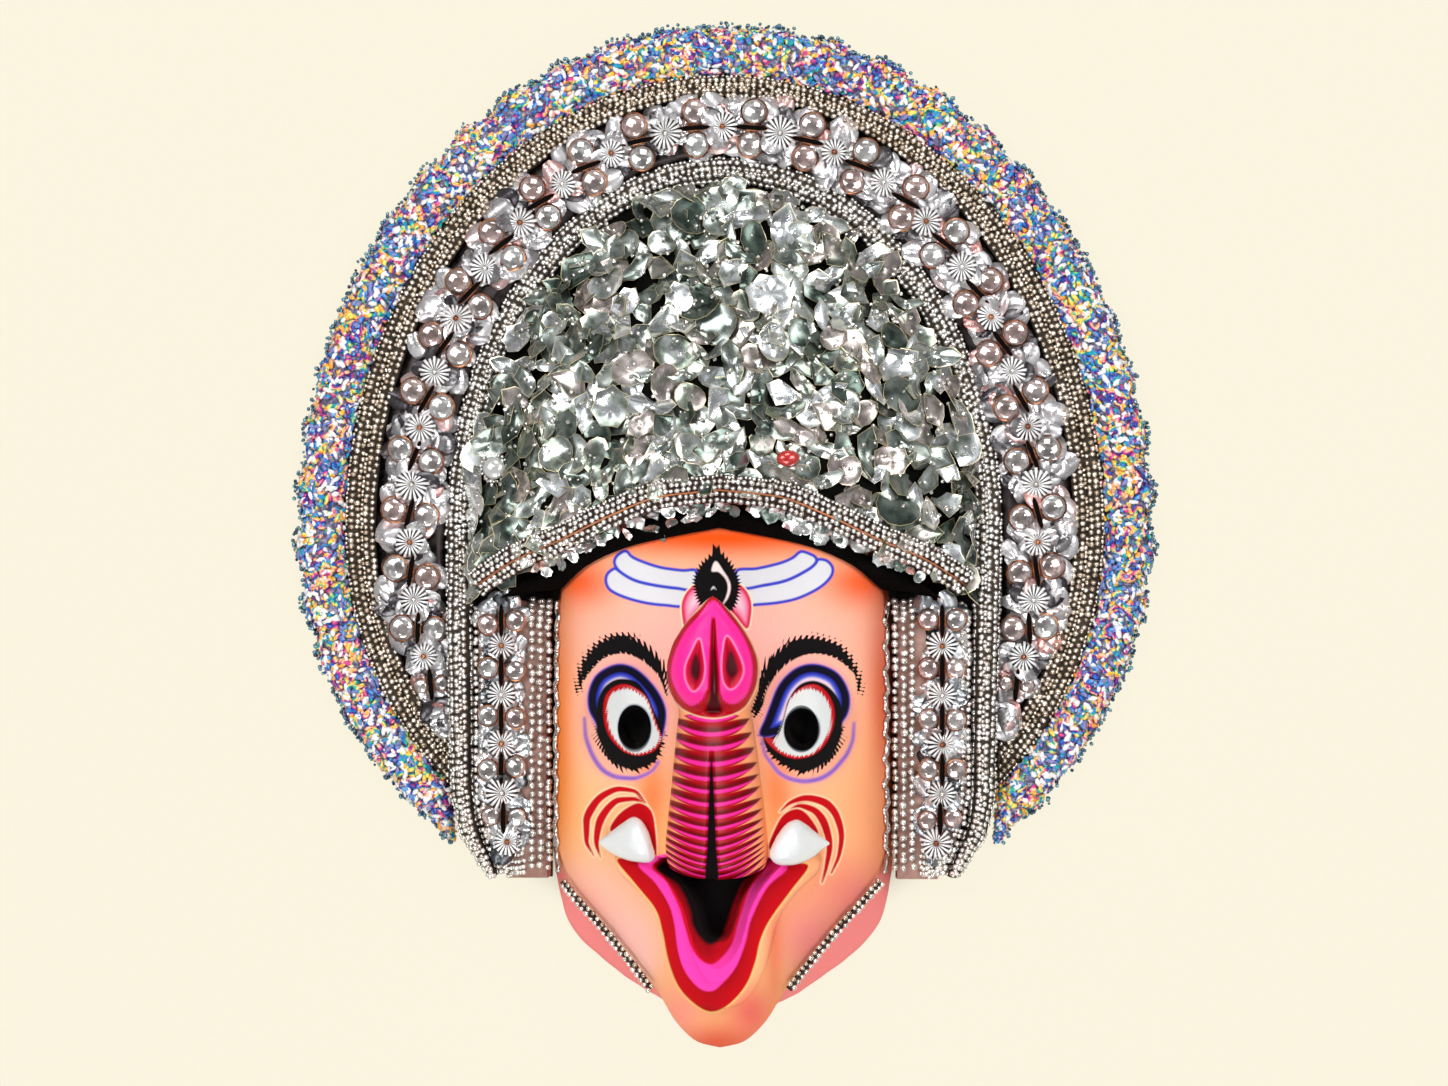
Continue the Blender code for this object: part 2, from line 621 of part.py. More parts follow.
def brow_beads(home, look):
    """Band of bead rows and ribbon along the brow arch."""
    inside = brow_line(1.5, 11)
    outside = brow_line(1.5 - BROW_BAND_WIDTH, 11)
    base = brow_height(brow_line(0, 11)[:, 0]) + GAP + 0.6
    rings = band_rings(inside, outside, ridged(2), base, base + 6.0)
    return make("brow_bead_band", loft(rings), look, home)


def hair_band(home, look):
    """Black cloth hairline between the forehead and the crown's lower edge."""
    skin = both_sides(even(curve_through([(0, 0.5), (46, -9), (70, -19), (87, -33)]), 8))
    under = brow_line(3.0, 8)
    under = under * np.array([0.93, 1])
    v = np.linspace(0, 1, 3)
    flat = skin[:, None] * (1 - v)[None, :, None] + under[:, None] * v[None, :, None]
    rest = face_height(skin[:, 0], skin[:, 1]) + 2.0
    tuck = brow_height(under[:, 0]) - CROWN_WALL - 4.0
    height = rest[:, None] * (1 - v) + tuck[:, None] * v + 2.0 * np.sin(math.pi * v)
    clear = 2.0 + 2.5 * (np.abs(flat[:, :, 0]) / 87) ** 6
    height = np.maximum(height, face_height(flat[:, :, 0], flat[:, :, 1]) + clear)
    rings = []
    for line, level in zip(flat, height):
        rings.append(np.vstack([np.c_[line, level + 1.6], np.c_[line, level][::-1]]))
    return make("hair_band", loft(rings), look, home)


def side_pieces(home, cutters, looks):
    """Panel, its foil strip with discs, and its bead rows, on each side of the face."""
    ys = np.array([PANEL_TOP_Y, -42, -48, -80, -120, -155, -170, -182, PANEL_BOTTOM_Y])
    outer_x = through([(-39, 128), (-48, 133), (-140, 133), (-160, 130), (-175, 124.5),
                       (-190, 117)], ys)
    front = through([(-39, 20), (-48, PANEL_FRONT_Z), (-182, PANEL_FRONT_Z), (-190, 26)], ys)
    panel_ring = [(0, 0), (0, 0.9), (0.1, 1), (0.9, 1), (1, 0.9), (1, 0)]
    for side, word in ((-1, "left"), (1, "right")):
        inner = np.c_[np.full(len(ys), PANEL_INNER_X * side), ys]
        outer = np.c_[outer_x * side, ys]
        make(f"side_panel_{word}", loft(band_rings(inner, outer, panel_ring, BOARD_TOP, front)),
             looks["foil"], home)
        rows = np.append(ys[1:-1], PANEL_BOTTOM_Y + 2.5)
        base = np.interp(-rows, -ys, front) + GAP
        near = np.c_[np.full(len(rows), (PANEL_INNER_X + 0.6) * side), rows]
        far = near + np.array([12.0 * side, 0])
        make(f"side_bead_rows_{word}", loft(band_rings(near, far, ridged(2), base, base + 4.0)),
             looks["bead"], home)
        start = far + np.array([0.8 * side, 0])
        stop = np.c_[(np.interp(-rows, -ys, outer_x) - 1.5) * side, rows]
        strip = loft(band_rings(start, stop, [(0, 0), (0, 1), (1, 1), (1, 0)], base, base + 1.4))
        level = PANEL_FRONT_Z + GAP + 1.4
        discs, flowers = [], []
        for number, y in enumerate(np.linspace(-56, -176, 2 * PANEL_FLOWERS)):
            near_x, far_x = (np.interp(-y, -rows, line[:, 0]) for line in (start, stop))
            middle, room = (near_x + far_x) / 2, abs(far_x - near_x) / 2
            if number % 2:
                flowers.append((middle, y, level, min(FLOWER_R, room)))
                continue
            radius = min(PANEL_DISC_R, room / 2 - 0.4)
            discs += [(middle + turn * (radius + 0.4), y, level, radius) for turn in (-1, 1)]
        dressing(f"side_sequins_{word}", strip, discs, flowers, home, cutters, looks["foil"])


def jaw_beads(home, look):
    """Two-strand bead string along each side of the jaw."""
    line = curve_through([(84.5, -191), (58, -221), (36.5, -247)], 9)
    turn = np.linspace(0, 2 * math.pi, 7, endpoint=False)
    along = np.gradient(line, axis=0)
    along /= np.linalg.norm(along, axis=1)[:, None]
    away = np.stack([-along[:, 1], along[:, 0]], axis=1)
    away *= np.sign(away[:, :1])
    for side, word in ((-1, "left"), (1, "right")):
        rings = []
        for point, out in zip(line, away):
            flat = point + out * 0.5 + out * 3.4 * np.cos(turn)[:, None]
            deep = point - out * 4.0
            level = max(float(face_height(*deep)), float(face_height(*point))) + 2.6
            tilt = -0.8 * 3.4 * np.cos(turn)
            rings.append(np.c_[flat, level + tilt + 2.0 * np.sin(turn)])
        rings = np.array(rings) * np.array([side, 1, 1])
        make(f"jaw_beads_{word}", loft(rings), look, home)


def main():
    remove_everything()
    home = bpy.data.collections.new("chhau_mask")
    cutters = bpy.data.collections.new("cutters")
    bpy.context.scene.collection.children.link(home)
    bpy.context.scene.collection.children.link(cutters)
    looks = {
        "skin": finish("painted_face", (0.95, 0.42, 0.22), 0.25, 0.0),
        "tusk": finish("white_enamel", (0.86, 0.86, 0.84), 0.25, 0.0),
        "board": finish("grey_card", (0.42, 0.40, 0.37), 0.8, 0.0),
        "tinsel": finish("rainbow_tinsel", (0.45, 0.42, 0.75), 0.25, 0.8),
        "bead": finish("silver_bead", (0.62, 0.59, 0.55), 0.25, 1.0),
        "foil": finish("silver_foil", (0.80, 0.79, 0.80), 0.2, 1.0),
        "chips": finish("mirror_chips", (0.60, 0.64, 0.62), 0.2, 1.0),
        "hair": finish("black_cloth", (0.02, 0.018, 0.016), 0.6, 0.0),
    }
    face(home, cutters, looks["skin"])
    tusks(home, looks["tusk"])
    halo_board(home, looks["board"])
    tinsel_fringe(home, looks["tinsel"])
    outer_beads(home, looks["bead"])
    sequin_band(home, cutters, looks["foil"])
    inner_beads(home, looks["bead"])
    crown_dome(home, cutters, looks["chips"])
    brow_beads(home, looks["bead"])
    hair_band(home, looks["hair"])
    side_pieces(home, cutters, looks)
    jaw_beads(home, looks["bead"])


main()
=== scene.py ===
"""Painted and beaded finish of the elephant-faced chhau mask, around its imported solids.

Shapes are worked out in millimetres and become metres when a mesh is made. The mask lies
on its back: +Z is out of the face and +Y is the top of the headdress.
"""

import math

import bpy
import numpy as np
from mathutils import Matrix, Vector


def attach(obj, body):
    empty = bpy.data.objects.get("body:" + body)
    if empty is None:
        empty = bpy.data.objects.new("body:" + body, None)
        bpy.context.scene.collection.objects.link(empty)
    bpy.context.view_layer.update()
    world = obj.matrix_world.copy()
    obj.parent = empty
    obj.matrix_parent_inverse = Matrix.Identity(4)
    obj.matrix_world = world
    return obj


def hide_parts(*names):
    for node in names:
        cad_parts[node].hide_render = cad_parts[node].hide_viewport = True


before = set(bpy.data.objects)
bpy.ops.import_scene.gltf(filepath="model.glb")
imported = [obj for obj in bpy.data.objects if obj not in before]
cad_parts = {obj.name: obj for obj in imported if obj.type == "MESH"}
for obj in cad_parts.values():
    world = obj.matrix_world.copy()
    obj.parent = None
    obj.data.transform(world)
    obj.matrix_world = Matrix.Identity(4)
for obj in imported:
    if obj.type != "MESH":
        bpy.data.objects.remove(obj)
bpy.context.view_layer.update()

MM = 0.001
TAU = 2 * math.pi
rng = np.random.default_rng(19)

# Where the drawing of the mask is looked at from: distance, sideways angle, mm per step of
# the drawing's own unit, and the drawing's centre
SEEN_FROM = 2200.0
SEEN_TURN = math.radians(2.4)
UNIT = 0.55
DRAWN_CENTRE = (724.5, 543.0)
SEEN_Y = -7.7

# Halo outlines: half width, height above and depth below the halo centre
HALO_CENTRE_Y = -0.5
FRINGE_OUTER = (236.4, 278.2, 223.4)
FRINGE_INNER = (209.0, 249.7, 203.5)
OUTER_BEADS_INNER = (191.0, 236.5, 187.0)
SEQUINS_INNER = (152.5, 204.0, 0.0)
INNER_BEADS_INNER = (137.5, 189.0, 0.0)
EDGE_X = 149.3
# Front of the card board, on which the headdress is glued
BOARD_FRONT = 6.4
BROW_ARCH = [(0, 15.5), (30, 12.3), (55, 3.0), (82, -9.8), (109, -21.5), (130, -35)]

# Face outlines and heights, as in the solid
FACE_CENTRE_Y = -105.0
PUPIL_X, PUPIL_Y = 44.6, -106.0
LIP_REACH = 7.6
BARE_BELOW = 22
FACE_EDGE = [(0, 39), (44, 33), (72, 14), (85, -14), (89, -60), (90, -130), (89.5, -168),
    (84, -188), (59, -220), (35, -249), (23, -267), (11, -276.5), (0, -278.9)]
RIM_EDGE = [(0, 43), (50, 36), (78, 14), (89, -20), (92.4, -70), (92.6, -180), (88.5, -207),
    (82, -221), (60, -241), (38, -256), (20, -263), (0, -265)]
EDGE_HEIGHT = [(43, 20), (-40, 26), (-180, 28), (-230, 31), (-262, 42), (-280, 50)]
SPINE_HEIGHT = [(43, 66), (0, 67), (-40, 72), (-95, 77), (-150, 83), (-185, 89), (-215, 94),
    (-245, 98), (-262, 90), (-280, 74)]
BRIDGE_HEIGHT = [(-50, 0), (-64, 1), (-80, 9), (-100, 20), (-130, 26), (-165, 24), (-190, 8),
    (-205, 0)]
LIP_PATH = [(0, -247.5), (9, -245), (15.5, -236), (20, -224), (23.5, -209), (28.5, -198),
    (37, -187), (47, -177.5)]
MOUTH_WIDE = [(0, -243.5), (7.5, -241), (12.6, -235), (15.8, -227), (19, -213), (22.5, -200),
    (28.5, -189), (39.5, -177)]
MOUTH_DEEP = [(0, -220.3), (3.4, -219.4), (6.5, -217), (10, -208), (12.5, -199), (16, -192),
    (20, -186), (30, -177)]
TRUNK = [(-185.5, 2, 88, 84), (-184.6, 11, 93, 81), (-182.5, 19, 98.5, 78), (-178, 25.5, 106, 70),
    (-168, 27.5, 109, 62), (-154, 26, 112, 64), (-138, 24, 117, 68), (-120, 22, 123, 74),
    (-104, 20, 129, 84), (-95, 18.8, 134, 94), (-90, 20.5, 142, 102), (-83, 23.3, 147, 108),
    (-73, 24, 149.5, 114), (-62, 21.6, 149.5, 120), (-50, 14.8, 147, 126), (-41, 7.2, 145, 132),
    (-36, 1.8, 143.6, 138), (-35.2, 0.3, 142, 141)]


# ---------------------------------------------------------------- curves
def through(stations, at):
    """Value at a position on the smooth monotone cubic through (position, value) stations."""
    at = np.asarray(at, float)
    xs, ys = np.array(sorted(stations), float).T
    steep = np.diff(ys) / np.diff(xs)
    before, after = steep[:-1], steep[1:]
    same_way = before * after > 0
    mean = 2 * before * after / np.where(same_way, before + after, 1)
    slope = np.r_[steep[0], np.where(same_way, mean, 0), steep[-1]]
    left = np.clip(np.searchsorted(xs, at) - 1, 0, len(xs) - 2)
    span = xs[left + 1] - xs[left]
    t = np.clip((at - xs[left]) / span, 0, 1)
    return ((2 * t**3 - 3 * t**2 + 1) * ys[left] + (3 * t**2 - 2 * t**3) * ys[left + 1]
            + ((t**3 - 2 * t**2 + t) * slope[left] + (t**3 - t**2) * slope[left + 1]) * span)


def even(path, count):
    """The same line as count points at even steps of length."""
    path = np.asarray(path, float)
    length = np.r_[0, np.cumsum(np.linalg.norm(np.diff(path, axis=0), axis=1))]
    at = np.linspace(0, length[-1], count)
    return np.stack([np.interp(at, length, axis) for axis in path.T], axis=1)


def curve_through(points, count=160):
    """Smooth line through points, as count points at even steps of length."""
    points = np.array(points, float)
    steps = np.r_[0, np.cumsum(np.linalg.norm(np.diff(points, axis=0), axis=1))]
    at = np.linspace(0, steps[-1], 12 * count)
    return even(np.stack([through(list(zip(steps, axis)), at) for axis in points.T], axis=1),
                count)


def ring_through(points, steps=6):
    """Closed smooth line (Catmull-Rom) through points."""
    p = np.array(points, float)
    before, after, beyond = np.roll(p, 1, 0), np.roll(p, -1, 0), np.roll(p, -2, 0)
    t = (np.arange(steps) / steps)[None, :, None]
    p, before, after, beyond = (q[:, None, :] for q in (p, before, after, beyond))
    curve = 0.5 * (2 * p + (after - before) * t
                   + (2 * before - 5 * p + 4 * after - beyond) * t**2
                   + (3 * p - before - 3 * after + beyond) * t**3)
    return curve.reshape(-1, 2)


def both_sides(half):
    """A left-to-right line from its right half, which starts on the centre line."""
    half = np.asarray(half, float)
    left = half[:0:-1] * np.array([-1, 1])
    return np.vstack([left, half])


def halo_half(size, end_degrees, tail=()):
    """Half of a halo outline: two quarter ellipses from the top, then an optional tail."""
    width, top, bottom = size
    turn = np.radians(np.linspace(0, end_degrees, 200))
    rise = np.where(np.cos(turn) > 0, top, bottom) * np.cos(turn)
    arc = np.stack([width * np.sin(turn), HALO_CENTRE_Y + rise], axis=1)
    return np.vstack([arc, tail]) if len(tail) else arc


def halo_arc(size, x, tail=()):
    """Half of a halo outline down to where it comes back in to x, then a tail."""
    return halo_half(size, 180 - math.degrees(math.asin(x / size[0])), tail)


def outward(line):
    """Unit vectors to the left of a line's run, which is outwards on a left-to-right line."""
    along = np.gradient(line, axis=0)
    along /= np.linalg.norm(along, axis=1)[:, None]
    return np.stack([-along[:, 1], along[:, 0]], axis=1)


def smooth(t):
    """Smooth step from 0 to 1."""
    t = np.clip(t, 0, 1)
    return t * t * (3 - 2 * t)


# ---------------------------------------------------------------- drawing coordinates
def drawn(points):
    """Where points of the mask (mm) fall on a flat drawing of it, in the drawing's units.

    The drawing is seen from straight in front: a point nearer the eye moves outwards by
    distance / (distance - its height towards the eye).
    """
    x, y, z = points[..., 0], points[..., 1], points[..., 2]
    cos, sin = math.cos(SEEN_TURN), math.sin(SEEN_TURN)
    near = SEEN_FROM / (SEEN_FROM - z * cos - x * sin)
    across = near * (x * cos - z * sin)
    up = near * (y - SEEN_Y)
    return np.stack([DRAWN_CENTRE[0] + across / UNIT, DRAWN_CENTRE[1] - up / UNIT], axis=-1)


def placed(drawn_points, height):
    """The mask's (x, y) in mm for points of the drawing at a known height."""
    d = np.asarray(drawn_points, float)
    cos, sin = math.cos(SEEN_TURN), math.sin(SEEN_TURN)
    across = (d[..., 0] - DRAWN_CENTRE[0]) * UNIT
    up = (DRAWN_CENTRE[1] - d[..., 1]) * UNIT
    x = across * 1.0
    for _ in range(6):
        near = SEEN_FROM / (SEEN_FROM - height * cos - x * sin)
        x = (across / near + height * sin) / cos
    return np.stack([x, up / near + SEEN_Y], axis=-1)


def nearest(points, a, b):
    """Distance from points to each segment a-b, and how far along it the nearest spot is."""
    way = b - a
    rel = points[:, None, :] - a[None]
    t = np.clip((rel * way[None]).sum(-1) / np.maximum((way**2).sum(-1), 1e-9)[None], 0, 1)
    return np.linalg.norm(rel - t[..., None] * way[None], axis=-1), t


def near_box(points, outline, margin):
    """Numbers of the points that lie within a margin of an outline's box."""
    low, high = outline.min(0) - margin, outline.max(0) + margin
    return np.flatnonzero(((points > low) & (points < high)).all(-1))


FAR = -30.0


def filled(points, outline, margin=14, smooth_steps=6):
    """Depth inside a closed outline, negative outside: distance to its nearest edge."""
    outline = ring_through(outline, smooth_steps) if smooth_steps else np.array(outline, float)
    ink = np.full(len(points), FAR)
    pick = near_box(points, outline, margin)
    p = points[pick]
    a, b = outline, np.roll(outline, -1, 0)
    depth = nearest(p, a, b)[0].min(1)
    rises = (a[None, :, 1] > p[:, 1:]) != (b[None, :, 1] > p[:, 1:])
    span = np.where(np.abs(b[:, 1] - a[:, 1]) < 1e-9, 1e-9, b[:, 1] - a[:, 1])
    cross = a[None, :, 0] + (p[:, 1:] - a[None, :, 1]) / span * (b[:, 0] - a[:, 0])
    within = (rises & (p[:, :1] < cross)).sum(1) % 2 == 1
    ink[pick] = np.where(within, depth, -depth)
    return ink


def stroked(points, path, widths, margin=14):
    """Depth inside a brush stroke: its half width there less the distance to its line."""
    path = curve_through(path, 60)
    widths = np.interp(np.linspace(0, 1, 60), np.linspace(0, 1, len(widths)), widths)
    ink = np.full(len(points), FAR)
    pick = near_box(points, path, margin)
    away, t = nearest(points[pick], path[:-1], path[1:])
    wide = widths[:-1] + (widths[1:] - widths[:-1]) * t
    ink[pick] = (wide - away).max(1)
    return ink


def most(*inks):
    """The greatest of several depths at each point."""
    return np.maximum.reduce(inks)


# ---------------------------------------------------------------- meshes
def linked(name, data):
    """A new object in the scene."""
    made = bpy.data.objects.new(name, data)
    bpy.context.scene.collection.objects.link(made)
    return made


def piece(name, points, faces, looks, picks=None, replaces=(), slot=None, data=None,
          sharp=None):
    """A mesh from points in mm and face arrays, riding on the mask's one body.

    picks gives each face's material, data the named point values, and sharp the angle in
    degrees above which an edge stays crisp.
    """
    mesh = bpy.data.meshes.new(name)
    faces = faces if isinstance(faces, (list, tuple)) else [faces]
    faces = [np.asarray(f) for f in faces if len(f)]
    sizes = np.concatenate([np.full(len(f), f.shape[1]) for f in faces])
    corners = np.concatenate([f.ravel() for f in faces]).astype(np.int32)
    mesh.vertices.add(len(points))
    mesh.vertices.foreach_set("co", (np.asarray(points) * MM).astype(np.float32).ravel())
    mesh.loops.add(len(corners))
    mesh.loops.foreach_set("vertex_index", corners)
    mesh.polygons.add(len(sizes))
    mesh.polygons.foreach_set("loop_start", np.r_[0, np.cumsum(sizes)[:-1]].astype(np.int32))
    if picks is not None:
        mesh.polygons.foreach_set("material_index", np.asarray(picks, np.int32))
    mesh.update(calc_edges=True)
    mesh.validate()
    for look in looks:
        mesh.materials.append(look)
    made = linked(name, mesh)
    mesh.shade_smooth()
    if sharp is not None:
        mesh.set_sharp_from_angle(angle=math.radians(sharp))
    note(mesh, data or {})
    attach(made, "root")
    if replaces:
        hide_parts(*replaces)
    return made


def note(mesh, data):
    """Stores named values on a mesh's points: one number each, or a colour."""
    for name, values in data.items():
        values = np.asarray(values, np.float32)
        if values.ndim == 1:
            layer = mesh.attributes.new(name, "FLOAT", "POINT")
            layer.data.foreach_set("value", values)
        else:
            layer = mesh.attributes.new(name, "FLOAT_VECTOR", "POINT")
            layer.data.foreach_set("vector", values.ravel())


def grid(rows, columns, around=True, start=0):
    """Quads of a grid of points; columns join up when the grid goes around."""
    r = np.arange(rows - 1)[:, None]
    c = np.arange(columns if around else columns - 1)[None, :]
    d = (c + 1) % columns
    a, b = r * columns + c, r * columns + d
    return (np.stack([a, b, b + columns, a + columns], -1) + start).reshape(-1, 4)


def fan(ring_start, columns, tip, flip=False):
    """Triangles from a ring of points to one point."""
    c = np.arange(columns)
    a, b = ring_start + c, ring_start + (c + 1) % columns
    tips = np.full(columns, tip)
    return np.stack([b, a, tips] if flip else [a, b, tips], -1)


def frames(normals, along=None):
    """Orthonormal frames (n, 3, 3) whose third column is each normal."""
    n = np.asarray(normals, float)
    n = n / np.linalg.norm(n, axis=1)[:, None]
    if along is None:
        along = np.tile([1.0, 0.13, 0.21], (len(n), 1))
    x = along - n * (along * n).sum(1)[:, None]
    x /= np.linalg.norm(x, axis=1)[:, None]
    return np.stack([x, np.cross(n, x), n], axis=2)


def stamp(shape, faces, spots, turned, sizes):
    """Copies of a small shape: each point is spot + frame times (shape times size)."""
    spots = np.asarray(spots, float)
    sizes = np.asarray(sizes, float)
    if sizes.ndim == 1:
        sizes = np.repeat(sizes[:, None], 3, axis=1)
    body = shape[None] * sizes[:, None, :]
    points = spots[:, None, :] + np.einsum("nij,nkj->nki", turned, body)
    count = len(shape)
    shift = (np.arange(len(spots)) * count)[:, None, None]
    return points.reshape(-1, 3), [(f[None] + shift).reshape(-1, f.shape[1]) for f in faces]


def between(inside, outside, shares):
    """Points at shares of the way from one line to another, a row for each line point."""
    u = shares[None, :, None]
    return inside[:, None] * (1 - u) + outside[:, None] * u


def raised(flat, height):
    """Flat points with their heights: one for each, or one number for all."""
    return np.concatenate([flat, np.broadcast_to(height, flat.shape[:-1])[..., None]], -1)


def closed(rings, flip=False):
    """Closed skin over rings of points, one after another, with a fan over each end."""
    count, around = rings.shape[:2]
    points = np.vstack([rings.reshape(-1, 3), rings[0].mean(0), rings[-1].mean(0)])
    faces = [grid(count, around), fan(0, around, count * around, flip=True),
             fan((count - 1) * around, around, count * around + 1)]
    return points, [f[:, ::-1] for f in faces] if flip else faces


def revolved(profile, sides):
    """Closed turned shape: profile of (radius, height), from its lower to its upper end."""
    turn = np.arange(sides) / sides * TAU
    circle = np.stack([np.cos(turn), np.sin(turn)], 1)
    return closed(np.stack([raised(radius * circle, height) for radius, height in profile]))


def tube(path, wide, tall, sides=8):
    """Closed rounded strip along a line of (x, y, z), wide across it and tall upwards."""
    path = np.asarray(path, float)
    across = np.c_[outward(path[:, :2]), np.zeros(len(path))]
    turn = np.arange(sides) / sides * TAU
    ring = path[:, None] + across[:, None] * (wide * np.cos(turn))[None, :, None] \
        + np.array([0, 0, 1.0]) * (tall * np.sin(turn))[None, :, None]
    return closed(ring)


def cup_shape():
    """Shallow turned cup under a flower, and the flat metal rim under a button."""
    return revolved([(0.9, -0.06), (1.0, 0.0), (0.97, 0.08), (0.6, 0.09), (0.1, 0.11)], 16)


class Heap:
    """Many small shapes gathered into the arrays of one mesh."""

    def __init__(self):
        self.points, self.faces, self.picks, self.tints, self.count = [], [], [], [], 0

    def add(self, points, faces, pick=0, tint=0.5):
        points = np.asarray(points, float)
        faces = faces if isinstance(faces, (list, tuple)) else [faces]
        for f in faces:
            self.faces.append((np.asarray(f) + self.count, pick))
        self.points.append(points)
        self.tints.append(np.broadcast_to(tint, (len(points),)))
        self.count += len(points)

    def copies(self, shape, spots, turned, sizes, pick=0):
        points, faces = stamp(shape[0], shape[1], spots, turned, sizes)
        self.add(points, faces, pick, np.repeat(rng.random(len(spots)), len(shape[0])))

    def made(self, name, looks, **more):
        order = sorted(self.faces, key=lambda item: item[0].shape[1])
        picks = np.concatenate([np.full(len(f), pick) for f, pick in order])
        return piece(name, np.vstack(self.points), [f for f, pick in order], looks, picks,
                     data={"tint": np.concatenate(self.tints)}, **more)


# ---------------------------------------------------------------- finishes
def ink(red, green, blue):
    """Linear colour from everyday 0 to 255 values."""
    share = np.array([red, green, blue]) / 255
    line = np.where(share <= 0.04045, share / 12.92, ((share + 0.055) / 1.055) ** 2.4)
    return (*(float(part) for part in line), 1.0)


class Nodes:
    """Adds nodes to one tree; inputs are given by socket name, as values or links."""

    def __init__(self, tree):
        self.tree = tree

    def add(self, kind, ins=None, **settings):
        made = self.tree.nodes.new(kind if kind.startswith("Node") else "ShaderNode" + kind)
        for key, value in settings.items():
            setattr(made, key, value)
        for key, value in (ins or {}).items():
            self.put(made.inputs[key], value)
        return made

    def put(self, socket, value):
        if isinstance(value, bpy.types.NodeSocket):
            self.tree.links.new(value, socket)
        elif socket.type == "VECTOR":
            socket.default_value = value[:3]
        else:
            socket.default_value = value

    def math(self, operation, a, b=0.0, c=0.0, clamp=False):
        return self.add("Math", {0: a, 1: b, 2: c}, operation=operation,
                        use_clamp=clamp).outputs[0]

    def value(self, name):
        return self.add("Attribute", attribute_name=name).outputs["Fac"]

    def vector(self, name):
        return self.add("Attribute", attribute_name=name).outputs["Vector"]

    def mix(self, share, a, b, blend="MIX"):
        made = self.add("Mix", data_type="RGBA", blend_type=blend, clamp_factor=True)
        for index, value in ((0, share), (6, a), (7, b)):
            self.put(made.inputs[index], value)
        return made.outputs[2]

    def ramp(self, share, stops):
        made = self.add("ValToRGB", {"Fac": share})
        band = made.color_ramp
        for number, (place, colour) in enumerate(stops):
            stop = band.elements[number] if number < 2 else band.elements.new(place)
            stop.position = place
            stop.color = colour
        return made.outputs["Color"]

    def span(self, value, low, high, to_low=0.0, to_high=1.0):
        return self.add("MapRange", {"Value": value, "From Min": low, "From Max": high,
                                     "To Min": to_low, "To Max": to_high},
                        interpolation_type="SMOOTHSTEP").outputs["Result"]

    def place(self):
        return self.add("TexCoord").outputs["Object"]

    def noise(self, scale, detail=3.0, roughness=0.5, vector=None):
        vector = self.place() if vector is None else vector
        made = self.add("TexNoise", {"Vector": vector, "Scale": scale, "Detail": detail,
                                     "Roughness": roughness})
        return made.outputs["Fac"]

    def bump(self, height, strength, distance):
        return self.add("Bump", {"Height": height, "Strength": strength,
                                 "Distance": distance}).outputs["Normal"]

    def group(self, tree, ins):
        made = self.add("Group")
        made.node_tree = tree
        for key, value in ins.items():
            self.put(made.inputs[key], value)
        return made.outputs[0]


def effect(name, ins, outs):
    """An empty node group with named inputs and outputs, and its two end nodes."""
    tree = bpy.data.node_groups.new(name, "ShaderNodeTree")
    for label, kind, default in ins:
        socket = tree.interface.new_socket(label, in_out="INPUT",
                                           socket_type="NodeSocket" + kind)
        if default is not None:
            socket.default_value = default
    for label, kind in outs:
        tree.interface.new_socket(label, in_out="OUTPUT", socket_type="NodeSocket" + kind)
    nodes = Nodes(tree)
    return tree, nodes, nodes.add("NodeGroupInput"), nodes.add("NodeGroupOutput")


def paint_layer():
    """Lays one colour of paint over another where a depth is above a threshold."""
    tree, n, start, end = effect(
        "paint_layer",
        [("Under", "Color", None), ("Paint", "Color", None),
         ("Depth", "Float", 0.0), ("Edge", "Float", 0.0),
         ("Soft", "Float", 0.7)],
        [("Colour", "Color"), ("Cover", "Float")])
    off = n.math("SUBTRACT", start.outputs["Depth"], start.outputs["Edge"])
    share = n.math("DIVIDE", off, start.outputs["Soft"])
    cover = n.math("MULTIPLY_ADD", share, 0.5, 0.5, clamp=True)
    n.put(end.inputs["Colour"], n.mix(cover, start.outputs["Under"], start.outputs["Paint"]))
    n.put(end.inputs["Cover"], cover)
    return tree


def lash_wave():
    """Saw-tooth wave round a centre on the drawing: hairs that point away from it."""
    tree, n, start, end = effect(
        "lash_wave",
        [("Drawn", "Vector", None), ("Centre", "Vector", None),
         ("Count", "Float", 60.0), ("Length", "Float", 3.0),
         ("Lean", "Float", 0.0)],
        [("Reach", "Float")])
    way = n.add("VectorMath", {0: start.outputs["Drawn"], 1: start.outputs["Centre"]},
                operation="SUBTRACT").outputs[0]
    parts = n.add("SeparateXYZ", {0: way})
    turn = n.math("ARCTAN2", parts.outputs[1], parts.outputs[0])
    reach = n.add("VectorMath", {0: way}, operation="LENGTH").outputs["Value"]
    lean = n.math("MULTIPLY", reach, start.outputs["Lean"])
    phase = n.math("MULTIPLY", n.math("ADD", turn, lean), start.outputs["Count"])
    saw = n.math("PINGPONG", n.math("DIVIDE", phase, TAU), 0.5)
    point = n.math("POWER", n.math("MULTIPLY", saw, 2.0), 1.6)
    n.put(end.inputs["Reach"], n.math("MULTIPLY", n.math("MULTIPLY_ADD", point, 2.0, -0.5),
                                      start.outputs["Length"]))
    return tree


